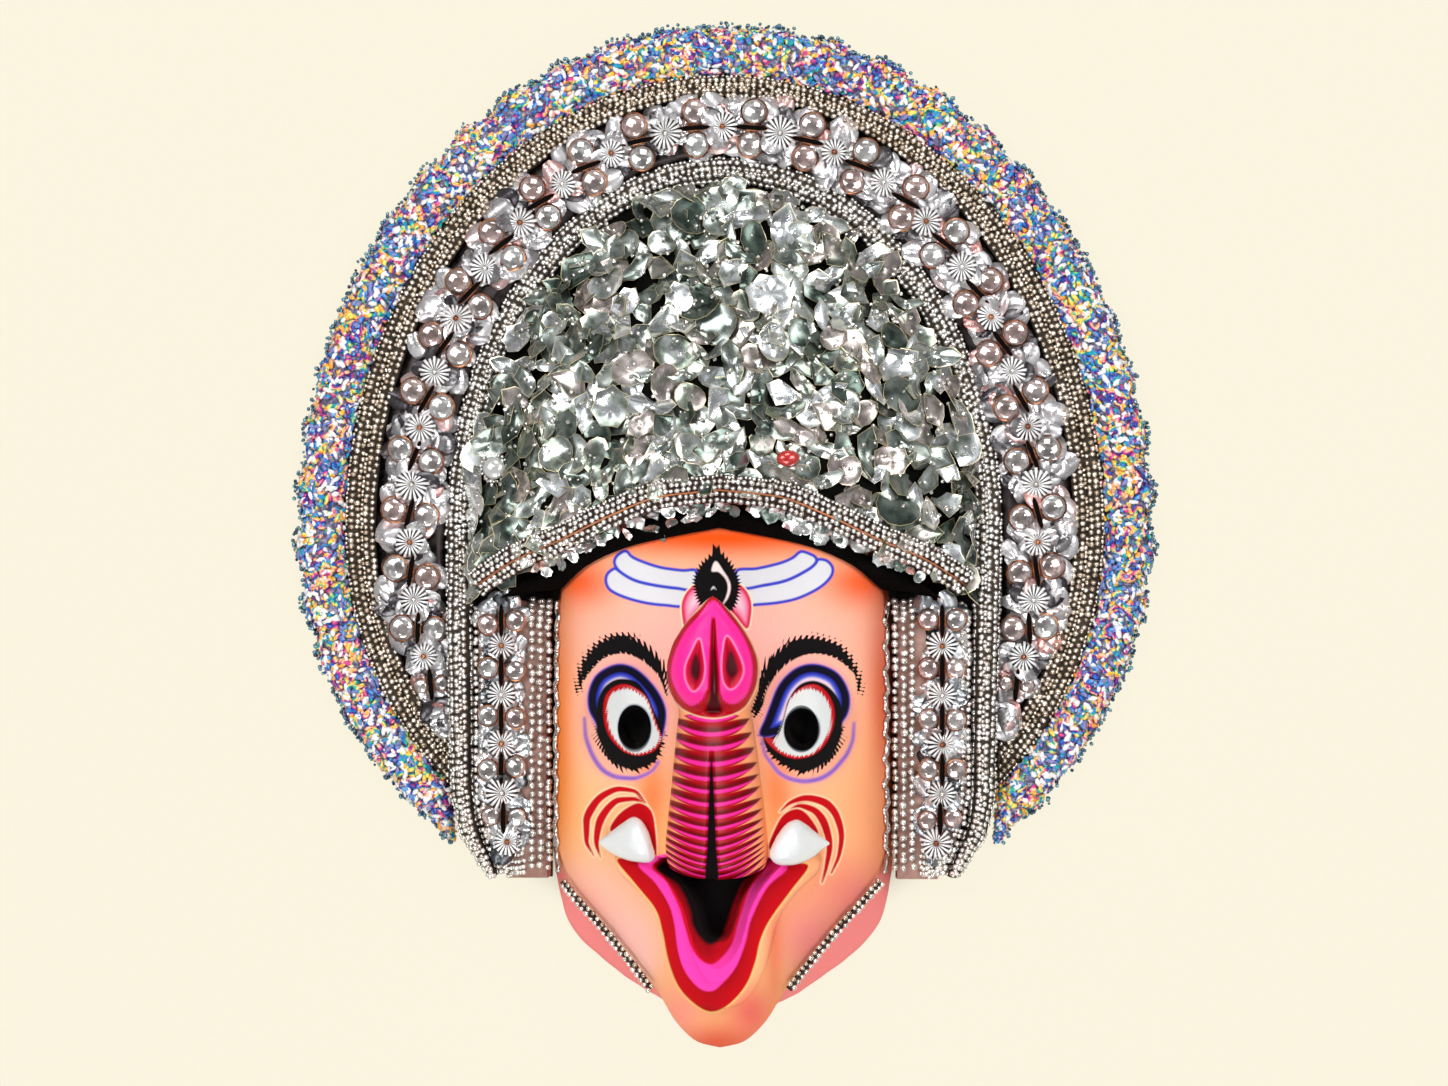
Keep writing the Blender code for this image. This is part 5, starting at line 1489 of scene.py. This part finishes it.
def disc_shape():
    """Clear button: a smooth dome, height 0.32 (1 - r^2)^0.6, without its metal rim."""
    radii = np.array([0.93, 0.92, 0.84, 0.66, 0.4, 0.14])
    heights = np.r_[0.0, 0.08, 0.1 + 0.32 * (1 - radii[2:] ** 2) ** 0.6]
    return revolved(list(zip(radii, heights)), 16)


def flower_shape():
    """Pressed foil flower: thin separate ribs that spread from the middle and droop."""
    petals = 18
    turn = np.arange(petals) / petals * TAU
    wide = 0.5 * math.pi / petals
    points, faces = [], []
    box = np.array([(0, 1, 2, 3), (7, 6, 5, 4), (0, 4, 5, 1), (1, 5, 6, 2), (2, 6, 7, 3),
                    (3, 7, 4, 0)])
    for number, angle in enumerate(turn):
        far = 1.0 - 0.1 * (number % 2)
        corners = []
        for low in (0.0, -0.08):
            for radius, spread, height in ((0.16, 1.5, 0.2), (0.16, -1.5, 0.2),
                                           (far, -1.0, 0.1), (far, 1.0, 0.1)):
                a = angle + spread * wide
                corners.append((radius * math.cos(a), radius * math.sin(a), height + low))
        points += corners
        faces.append(box + 8 * number)
    return np.array(points), [np.vstack(faces)]


def bar_shape():
    """A stitched dash: a low round-topped bar."""
    return revolved([(0.8, -0.3), (1.0, 0.0), (0.75, 0.5)], 10)


def strip_looks(looks, petal):
    """Looks of a dressed strip in the order that dress_strip and scatter_petals number."""
    return [looks[key] for key in ("disc", "flower", "dash", "gold", "bead", petal, "strip")]


def dress_strip(heap, marks, away, along, half, level, flowers, radius_of):
    """Buttons in pairs with a stitched dash between, and flowers on satin petals."""
    disc, flower, leaf, bar, cup = (disc_shape(), flower_shape(), leaf_shape(), bar_shape(),
                                    cup_shape())
    for number in range(len(marks)):
        spot, out, run = marks[number], away[number], along[number]
        base = np.array([*spot, level])
        across = np.array([*out, 0.0])
        down = np.array([*run, 0.0])
        if number in flowers:
            for turn in np.arange(7) / 7 * TAU + rng.normal(0, 0.2, 7):
                way = across * math.cos(turn) + down * math.sin(turn)
                reach = half[number] * 1.05 if abs(math.cos(turn)) > 0.5 else 16.0
                size = min(reach, 15.0) * rng.uniform(0.8, 1.05)
                tilt = np.array([0, 0, 1.0]) + rng.normal(0, 0.24, 3) - way * 0.05
                heap.copies(leaf, [base + [0, 0, rng.uniform(-0.6, 0.6)]], frames([tilt], [way]),
                            [[size, size * rng.uniform(0.7, 1.0), size * 0.7]], 5)
            normal = np.array([rng.normal(0, 0.2), rng.normal(0, 0.2), 1.0])
            size = min(9.6, half[number]) * rng.uniform(0.82, 1.04)
            heap.copies(cup, [base + [0, 0, 2.3]], frames([normal]),
                        [[size * 0.9, size * 0.9, size]], 6)
            heap.copies(flower, [base + [0, 0, 2.9]], frames([normal]),
                        [[size, size, size * 1.1]], 1)
            heap.copies(BEAD, [base + [0, 0, 5.0]], frames([normal]), [1.7], 3 + number % 4 // 2)
            continue
        radius = radius_of(half[number])
        for side in (-1, 1):
            place = spot + out * side * (radius + 1.5) + run * rng.normal(0, 0.8)
            lean = rng.normal(0, 0.1, 2)
            turned = frames([[lean[0], lean[1], 1.0]])
            heap.copies(cup, [np.array([*place, level + 2.0])], turned,
                        [[radius * 1.03, radius * 1.03, radius * 0.9]], 3)
            heap.copies(disc, [np.array([*place, level + 2.3])], turned, [radius], 0)
        heap.copies(bar, [base + [0, 0, 5.2]], frames([[0, 0, 1.0]], [down]),
                    [[9.4, 1.9, 1.0]], 3)
        heap.copies(bar, [base + [0, 0, 5.5]], frames([[0, 0, 1.0]], [down]),
                    [[9.1, 1.5, 1.3]], 2)


def make_sequins(looks):
    """Foil strip between the bead bands with its paired sequins, flowers and dashes."""
    outer = halo_arc(OUTER_BEADS_INNER, EDGE_X + 3.5)
    end = np.array([EDGE_X + 0.6, outer[-1, 1] + 3])
    inner = halo_half(SEQUINS_INNER, 90, tail=[(SEQUINS_INNER[0] - 1.5, -60), end])
    outside, inside = (both_sides(even(line, 420)) for line in (outer, inner))
    outside = outside - outward(outside) * 0.4
    inside = inside + outward(inside) * 0.8

    def height(share, line):
        return np.full(len(line), 11.6 - 2.2 * share)

    points, faces = band_skin(inside, outside, height, 7)
    piece("sequin_backing", points, faces, [looks["strip"]], slot="silver_foil",
          replaces=["sequin_band"])
    middle = both_sides(even((even(inner, 400) + even(outer, 400)) / 2, 400))
    edge = both_sides(even(inner, 400))
    count, skipped = 51, 26
    marks = even(middle[skipped:-skipped], count)
    reach = marks - even(edge[skipped:-skipped], count)
    half = np.linalg.norm(reach, axis=1)
    away = reach / half[:, None]
    along = np.stack([away[:, 1], -away[:, 0]], 1)
    heap = Heap()
    scatter_petals(heap, inside, outside, 12.0, 460)
    dress_strip(heap, marks, away, along, half, 12.6, set(range(1, count, 2)),
                lambda room: min(7.5, (room - 1.0) / 2))
    heap.made("sequins", strip_looks(looks, "petal"), slot="silver_foil",
              replaces=["sequin_band"])


def scatter_petals(heap, inside, outside, level, number, size=(11.0, 18.0)):
    """Loose satin petals lying at all angles between two lines."""
    at = rng.integers(0, len(inside), number)
    share = rng.uniform(0.06, 0.94, number)
    spot = inside[at] * (1 - share)[:, None] + outside[at] * share[:, None]
    normal = rng.normal(0, 0.13, (number, 3)) + [0, 0, 1]
    way = np.c_[rng.normal(size=(number, 2)), np.zeros(number)]
    turned = frames(normal, way)
    long = rng.uniform(*size, number)
    start = np.c_[spot, np.full(number, level) + rng.uniform(0, 1.2, number)]
    start -= turned[:, :, 0] * (0.5 * long)[:, None]
    heap.copies(leaf_shape(), start, turned, np.c_[long, long * 0.85, long * 0.7], 5)


def crown_surface(i, v):
    """The crown's foil ground at a share i round the arch and v from rim to brow.

    It runs straight from the rim line to the brow line and rises by sin(v 90 deg)^0.85.
    """
    upper = halo_half(INNER_BEADS_INNER, 90, tail=[(INNER_BEADS_INNER[0] - 0.8, -30)])
    upper = both_sides(even(upper, 200)) * np.array([1 - 0.9 / 137, 1]) - np.array([0, 0.5])
    lower = both_sides(even(curve_through(BROW_ARCH), 200))
    steps = np.linspace(0, 1, len(upper))
    pick = lambda line: np.stack([np.interp(i, steps, line[:, 0]),
                                  np.interp(i, steps, line[:, 1])], -1)
    top, low = pick(upper), pick(lower)
    flat = top * (1 - v)[..., None] + low * v[..., None]
    brow = brow_height(low[..., 0])
    high = 15 + (brow - 15) * np.sin(v * math.pi / 2) ** 0.85
    return raised(flat, high)


def brow_height(x):
    """Height of the crown's lower edge along the brow arch."""
    return 30 + 31 * np.cos(np.clip(np.abs(x) / 130, 0, 1) * math.pi / 2) ** 0.8


def make_crown(looks):
    """Domed crown shell with foil chips, small beads and two gems fixed all over it."""
    along, across = 160, 60
    i = np.repeat(np.linspace(0, 1, along)[:, None], across, 1)
    v = np.repeat(np.linspace(0, 1, across)[None], along, 0)
    top = crown_surface(i, v)
    low = top - [0, 0, 4.0]
    low[..., 2] = np.maximum(low[..., 2], BOARD_FRONT)
    low[:, 0, 2] = BOARD_FRONT
    points, faces = closed(np.concatenate([top, low[:, ::-1]], 1))
    made = piece("crown_shell", points, faces, [looks["crown"]], slot="mirror_chips",
                 replaces=["crown_dome"])
    made.data.set_sharp_from_angle(angle=math.radians(60))
    spots, normal = crown_spots(spacing=9.6, limit=900)
    count = len(spots)
    turned = frames(normal + rng.normal(0, 0.2, (count, 3)), rng.normal(size=(count, 3)))
    size = rng.uniform(8.5, 14.5, count)
    spread = np.c_[size, size * rng.uniform(0.7, 1.0, count), size * rng.uniform(0.6, 1.1, count)]
    lift = spots + normal * rng.uniform(0.8, 4.6, count)[:, None]
    clear = np.hypot(spots[:, 0] - GEM_PLACES[0][0], spots[:, 1] - GEM_PLACES[0][1]) < 9
    lift[clear] -= normal[clear] * 4.0
    heap, rims = Heap(), []
    kind = rng.choice(5, count, p=[0.26, 0.2, 0.16, 0.16, 0.22])
    for number, shape in enumerate(chip_shapes()):
        pick = kind == number
        heap.copies(shape, lift[pick], turned[pick], spread[pick], 0)
        rims.append(np.tile(shape[2], pick.sum()))
    beads = 900
    pick = rng.integers(0, count, beads)
    shift = rng.normal(0, 4.4, (beads, 3))
    shift -= normal[pick] * (shift * normal[pick]).sum(1)[:, None]
    heap.copies(BEAD, spots[pick] + shift + normal[pick] * 4.4,
                frames(rng.normal(size=(beads, 3)) + [0, 0, 1]), rng.uniform(0.7, 1.4, beads), 1)
    made = heap.made("foil_chips", [looks["chip"], looks["bead"]], slot="mirror_chips",
                     replaces=["crown_dome"])
    rims.append(np.zeros(beads * len(BEAD[0])))
    note(made.data, {"rim": np.concatenate(rims)})
    made.data.set_sharp_from_angle(angle=math.radians(40))
    make_gems(looks)


# Foil bits that stand out under the brow band: place and size in the drawing
BROW_BITS = [(605, 540, 15), (627, 534, 10), (655, 532, 17), (672, 524, 11), (692, 519, 15),
    (712, 512, 9), (735, 511, 10), (770, 516, 16), (792, 529, 17), (806, 528, 12), (820, 537, 15),
    (841, 541, 12), (860, 545, 16), (882, 557, 15), (640, 523, 12), (668, 512, 12), (690, 507, 11),
    (752, 508, 12), (588, 548, 12), (572, 557, 10), (560, 565, 9), (900, 565, 11), (920, 577, 10),
    (545, 572, 9)]


def brow_line(inward, count=120):
    """The brow arch moved towards the face by a distance."""
    path = both_sides(even(curve_through(BROW_ARCH), count))
    return path - outward(path) * inward


def make_brow(looks):
    """Brow band: two double bead strings with a copper line between, foil bits under it."""
    inside, outside = brow_line(1.5), brow_line(-13.5)
    base = brow_height(brow_line(0)[:, 0]) + 1.0

    def height(share, line):
        return base + 2.6 + 1.6 * math.sin(math.pi * (0.1 + 0.8 * share))

    points, faces = band_skin(inside, outside, height, 9, base)
    piece("brow_ribbon", points, faces, [looks["ribbon"]], slot="silver_bead",
          replaces=["brow_bead_band"])
    heap = Heap()
    lift = lambda share, line: height(share, line) + 1.1
    rows_between(heap, inside, outside, (0.09, 0.3, 0.56, 0.77), 1.66, lift, wobble=0.14)
    rows_between(heap, inside, outside, (0.94,), 1.1, lift, wobble=0.2)
    wire = inside * 0.57 + outside * 0.43
    heap.add(*tube(np.c_[wire, height(0.43, None) + 1.0], 0.55, 0.6), 1)
    heap.made("brow_beads", [looks["bead"], looks["gold"]], slot="silver_bead",
              replaces=["brow_bead_band"])
    bits = Heap()
    fixed = np.array(BROW_BITS, float)
    loose = 110
    x = rng.uniform(-104, 104, loose)
    line = brow_line(1.5)
    y = np.interp(x, line[:, 0], line[:, 1]) - rng.uniform(-2.0, 2.5, loose)
    spots = np.vstack([placed(fixed[:, :2], 60.0), np.c_[x, y]])
    count = len(spots)
    z = brow_height(spots[:, 0]) + rng.uniform(-0.8, 2.4, count)
    size = np.r_[fixed[:, 2] * UNIT / 2, rng.uniform(2.0, 3.6, loose)] * 1.45
    kind = rng.integers(0, 5, count)
    turned = frames(rng.normal(0, 0.3, (count, 3)) + [0, -0.3, 1], rng.normal(size=(count, 3)))
    for number, shape in enumerate(chip_shapes()):
        pick = kind == number
        bits.copies(shape, np.c_[spots, z][pick], turned[pick],
                    np.c_[size, size * 0.85, size][pick], 0)
    bits.made("brow_foil_bits", [looks["mirror"]], slot="silver_foil", sharp=40,
              replaces=["brow_bead_band"])


def make_hair(looks):
    """Black cloth hairline: a soft rounded strip from the forehead up under the crown. Its black
    is the mask's black hair and, at its ends beyond the face, painted shade in the gap under
    the brow band.
    """
    skin = both_sides(even(curve_through([(0, 0.5), (46, -9), (70, -19), (87, -33)]), 110))
    under = brow_line(3.0, 110) * np.array([0.93, 1])
    v = np.linspace(0, 1, 22)
    flat = between(skin, under, v)
    rest = face_height(skin[:, 0], skin[:, 1]) + 1.2
    tuck = brow_height(under[:, 0]) - 8.0
    height = rest[:, None] * (1 - v) + tuck[:, None] * v + 3.0 * np.sin(math.pi * v)
    fold = 0.5 * np.sin(np.arange(len(skin))[:, None] * 0.9 + 5 * v[None])
    clear = 1.4 + 2.5 * (np.abs(flat[..., 0]) / 87) ** 6
    height = np.maximum(height, face_height(flat[..., 0], flat[..., 1]) + clear) + fold * 0.5
    top, low = raised(flat, height + 1.2), raised(flat, height)[:, ::-1]
    points, faces = closed(np.concatenate([top, low], 1), flip=True)
    piece("hair_cloth", points, faces, [looks["hair"]], slot="black_cloth",
          replaces=["hair_band"])


def make_panels(looks):
    """Side panels: padded backing, foil strip with sequins, and bead rows by the face."""
    ys = np.linspace(-39, -190, 90)
    outer_x = through([(-39, 128), (-48, 133), (-140, 133), (-160, 130), (-175, 124.5),
                       (-190, 117)], ys)
    front = through([(-39, 20), (-48, 29), (-182, 29), (-190, 26)], ys)
    for side, word in ((-1, "left"), (1, "right")):
        inner = np.c_[np.full(len(ys), 94.8 * side), ys]
        outer = np.c_[outer_x * side, ys]
        u = np.array([0, 0.02, 0.1, 0.9, 0.98, 1])
        edge_drop = np.array([3.0, 0.8, 0, 0, 0.8, 3.0])
        flat = between(inner, outer, u)
        top = raised(flat, front[:, None] - edge_drop)
        ring = np.concatenate([top, raised(flat[:, ::-1], BOARD_FRONT)], 1)
        points, faces = closed(ring, flip=side > 0)
        made = piece(f"panel_backing_{word}", points, faces, [looks["panel"]],
                     slot="silver_foil", replaces=[f"side_panel_{word}"])
        made.data.set_sharp_from_angle(angle=math.radians(40))
        keep = (ys < -34) & (ys > -187.5)
        rows, base = ys[keep], front[keep] + 0.4
        near = np.c_[np.full(len(rows), 92.0 * side), rows]
        far = near + np.array([15.0 * side, 0])
        heap = Heap()
        for share in (0.13, 0.44, 0.75):
            line = near * (1 - share) + far * share
            bead_row(heap, np.c_[line, base + 1.6 + 1.2 * math.sin(math.pi * share)], 2.15,
                     wobble=0.13)
        for shift in (-2.6, 0.7):
            line = np.c_[(outer_x[keep] + shift) * side, rows]
            bead_row(heap, np.c_[line, base + 1.4], 1.8, wobble=0.16)
        low = np.linspace(-173, -189, 20)
        edge = np.interp(-low, -ys, outer_x) - 1.6
        for share in np.linspace(0.04, 0.98, 7):
            across = 107.5 * (1 - share) + edge * share
            bead_row(heap, np.c_[across * side, low, np.interp(-low, -ys, front) + 1.7], 1.65,
                     wobble=0.16)
        wave = 89.2 + 0.8 * np.sin(rows * 0.42) + 0.5 * np.sin(rows * 0.93 + side)
        trim = np.c_[wave * side, rows]
        level = face_height(*(trim * [0.985, 1]).T)
        heap.add(*tube(np.c_[trim, np.maximum(level, 27.0)][::side], 1.5, 1.5), 1)
        heap.made(f"panel_beads_{word}", [looks["bead"], looks["trim"]], slot="silver_bead",
                  replaces=[f"side_bead_rows_{word}"])
        start = far + np.array([0.4 * side, 0])
        stop = np.c_[(outer_x[keep] - 1.5) * side, rows]
        count = 10
        marks_y = np.linspace(-50, -170, count)
        near_x, far_x = (np.interp(-marks_y, -rows, line[:, 0]) for line in (start, stop))
        marks = np.c_[(near_x + far_x) / 2, marks_y]
        half = np.abs(far_x - near_x) / 2
        away = np.tile([float(side), 0.0], (count, 1))
        along = np.tile([0.0, -1.0], (count, 1))
        studs = Heap()
        scatter_petals(studs, start[:-8], stop[:-8], 30.2, 90, (9.0, 14.0))
        dress_strip(studs, marks, away, along, half, 30.4, set(range(1, count, 2)),
                    lambda room: min(6.0, room / 2))
        studs.made(f"panel_sequins_{word}", strip_looks(looks, "grey_petal"),
                   slot="silver_foil", replaces=[f"side_sequins_{word}"])


def make_jaw_beads(looks):
    """Two-strand bead string along each side of the jaw, on a dark cord."""
    line = curve_through([(86, -190.5), (58.5, -220.5), (37, -247)], 60)
    away = outward(line)
    away *= np.sign(away[:, :1])
    deep = line - away * 4.0
    ground = np.maximum(face_height(*deep.T), face_height(*line.T))
    for side, word in ((-1, "left"), (1, "right")):
        heap = Heap()
        for pick, shift in ((1, -1.5), (0, 1.5)):
            spot = line + away * shift
            level = ground + 2.0 - 0.8 * shift
            bead_row(heap, np.c_[spot * [side, 1], level], 1.65, 1.04, pick, wobble=0.06)
        heap.add(*tube(np.c_[line * [side, 1], ground + 0.8][::side], 1.8, 1.0), 2)
        heap.made(f"jaw_strand_{word}", [looks["bead"], looks["bronze"], looks["ribbon"]],
                  slot="silver_bead", replaces=[f"jaw_beads_{word}"])


def headdress_looks():
    """Every look of the headdress, by name."""
    looks = {
        "tinsel": tinsel_look(), "core": rope_look(), "disc": button_look(),
        "bead": metal_look("silver_bead", ink(250, 249, 246), ink(204, 194, 184), 0.15, 500.0,
                           0.78),
        "bronze": metal_look("bronze_bead", ink(244, 234, 220), ink(164, 146, 126), 0.15,
                             500.0, 0.85),
        "seed": metal_look("seed_bead", ink(130, 176, 196), ink(40, 50, 80), 0.25, 500.0),
        "strip": metal_look("silver_foil_strip", ink(120, 112, 112), ink(44, 38, 38), 0.3,
                            120.0),
        "trim": metal_look("silver_trim", ink(236, 232, 228), ink(180, 166, 160), 0.22, 160.0),
        "flower": satin_look("foil_flower", ink(252, 252, 252), ink(236, 232, 232),
                             ink(236, 236, 236), 0.2),
        "petal": satin_look("foil_petal", ink(222, 220, 222), ink(222, 158, 150),
                            ink(74, 70, 74), 0.75),
        "grey_petal": satin_look("grey_foil_petal", ink(216, 220, 224), ink(196, 176, 172),
                                 ink(84, 88, 92), 0.85),
        # The brow's mirror bits: their salmon flush is a painted reflection of the face below
        # them.
        "mirror": satin_look("mirror_bits", ink(226, 228, 226), ink(214, 160, 146),
                             ink(110, 124, 116), 0.8),
        "gold": metal_look("gold_edge", ink(206, 138, 96), ink(120, 62, 40), 0.3, 90.0),
        "chip": chip_look(),
        "crown": metal_look("crown_foil_ground", ink(52, 52, 48), ink(7, 7, 6), 0.5, 90.0),
        "backing": cloth_look("bead_backing", ink(104, 92, 80), ink(36, 30, 25)),
        "panel": cloth_look("panel_backing", ink(222, 184, 170), ink(140, 100, 90)),
        "ribbon": cloth_look("dark_ribbon", ink(96, 74, 68), ink(34, 24, 22)),
        "hair": cloth_look("black_cloth", ink(16, 11, 9), ink(2, 2, 2), 600.0, 0.95)}
    dash, n, shader = new_look("black_thread", 0.8, specular_ior_level=0.06)
    n.put(shader.inputs["Base Color"], shaded(n, ink(7, 5, 5), 0.3, 200.0)[0])
    looks["dash"] = dash
    for key, name, tone in (("clear_gem", "clear_glass_gem", ink(206, 206, 204)),
                            ("red_gem", "red_glass_gem", ink(206, 60, 56))):
        gem, n, shader = new_look(name, 0.06, 0.3, coat_weight=1.0)
        n.put(shader.inputs["Base Color"], shaded(n, tone, 0.25, 120.0)[0])
        looks[key] = gem
    return looks


def dress_board():
    """Gives the card board behind the headdress its pressed-paper finish."""
    look, n, shader = new_look("grey_card", 0.85)
    card = shaded(n, ink(150, 143, 132), 0.25, 30.0)[0]
    fibre = n.noise(800.0, 4.0, 0.7)
    tone = n.mix(n.span(fibre, 0.45, 0.8, 0.0, 0.4), card, ink(190, 182, 168))
    front = n.span(n.add("SeparateXYZ", {0: n.place()}).outputs[2], 0.0045, 0.0055)
    surface(n, shader, n.mix(front, tone, ink(24, 20, 18)), fibre, 0.4, 0.0005)
    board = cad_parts["halo_board"]
    for slot in board.material_slots:
        slot.material = look


# ---------------------------------------------------------------- the room
def make_room():
    """Pale floor with a painted shadow under the mask, soft studio light and the camera."""
    scene = bpy.context.scene
    floor, n, shader = new_look("pale_floor", 1.0, specular_ior_level=0.0)
    place = n.add("SeparateXYZ", {0: n.place()})
    # Inside an ellipse round the mask the floor's glow falls to near black: a painted shadow, seen
    # through the pupils and the gaps.
    squares = [n.math("POWER", n.math("DIVIDE", place.outputs[axis], size), 2.0)
               for axis, size in enumerate((0.2, 0.235))]
    reach = n.math("SQRT", n.math("ADD", *squares))
    grain = n.noise(260.0, 2.0)
    cream = n.mix(grain, ink(244, 237, 216), ink(246, 240, 220))
    n.put(shader.inputs["Base Color"], ink(60, 58, 54))
    n.put(shader.inputs["Emission Color"], n.mix(n.span(reach, 0.8, 1.0), ink(6, 5, 5), cream))
    n.put(shader.inputs["Emission Strength"], 1.0)
    mesh = bpy.data.meshes.new("floor")
    mesh.from_pydata([(-6, -6, -0.0005), (6, -6, -0.0005), (6, 6, -0.0005), (-6, 6, -0.0005)],
                     [], [(0, 1, 2, 3)])
    mesh.materials.append(floor)
    linked("floor", mesh)
    world = bpy.data.worlds.new("studio")
    world.use_nodes = True
    scene.world = world
    n = Nodes(world.node_tree)
    back = world.node_tree.nodes["Background"]
    way = n.add("TexCoord").outputs["Generated"]
    up = n.add("SeparateXYZ", {0: way}).outputs[2]
    soft = n.ramp(up, [(0.0, (0.1, 0.1, 0.105, 1)), (0.3, (0.42, 0.42, 0.42, 1)),
                       (0.72, (0.8, 0.8, 0.8, 1)), (0.93, (0.5, 0.5, 0.5, 1)),
                       (0.985, (0.03, 0.03, 0.03, 1))])
    patch = n.noise(5.0, 1.0, 0.4, way)
    lit = n.mix(n.span(patch, 0.44, 0.6), ink(96, 94, 92), ink(255, 255, 255))
    n.put(back.inputs["Color"], n.mix(1.0, soft, lit, "MULTIPLY"))
    back.inputs["Strength"].default_value = 1.0
    for name, place, size, power in (
            ("left_softbox", (-1.1, 0.7, 1.9), 1.0, 20.0),
            ("right_softbox", (1.2, 0.5, 1.8), 0.9, 17.0),
            ("top_softbox", (0.1, 1.5, 1.4), 0.7, 8.0),
            ("low_softbox", (-0.1, -1.6, 1.6), 1.0, 20.0),
            ("left_lamp", (-0.45, 0.75, 2.3), 0.14, 2.2),
            ("right_lamp", (0.75, 0.15, 2.2), 0.12, 1.8),
            ("low_lamp", (-0.6, -0.9, 1.9), 0.12, 1.2)):
        data = bpy.data.lights.new(name, "AREA")
        data.energy = power
        data.size = size
        lamp = linked(name, data)
        lamp.location = place
        lamp.rotation_euler = (Vector((0, 0, 0.05)) - Vector(place)).to_track_quat(
            "-Z", "Y").to_euler()
    eye = bpy.data.cameras.new("camera")
    eye.lens = 99.45
    eye.sensor_width = 36.0
    camera = linked("camera", eye)
    far = SEEN_FROM * MM
    camera.location = (far * math.sin(SEEN_TURN), SEEN_Y * MM, far * math.cos(SEEN_TURN))
    camera.rotation_euler = (0, SEEN_TURN, 0)
    scene.camera = camera
    scene.view_settings.view_transform = "Standard"
    scene.view_settings.look = "None"


looks = headdress_looks()
make_room()
make_face()
make_trunk()
make_tusks()
dress_board()
make_fringe(looks)
make_halo_beads(looks)
make_inner_beads(looks)
make_sequins(looks)
make_crown(looks)
make_brow(looks)
make_hair(looks)
make_panels(looks)
make_jaw_beads(looks)
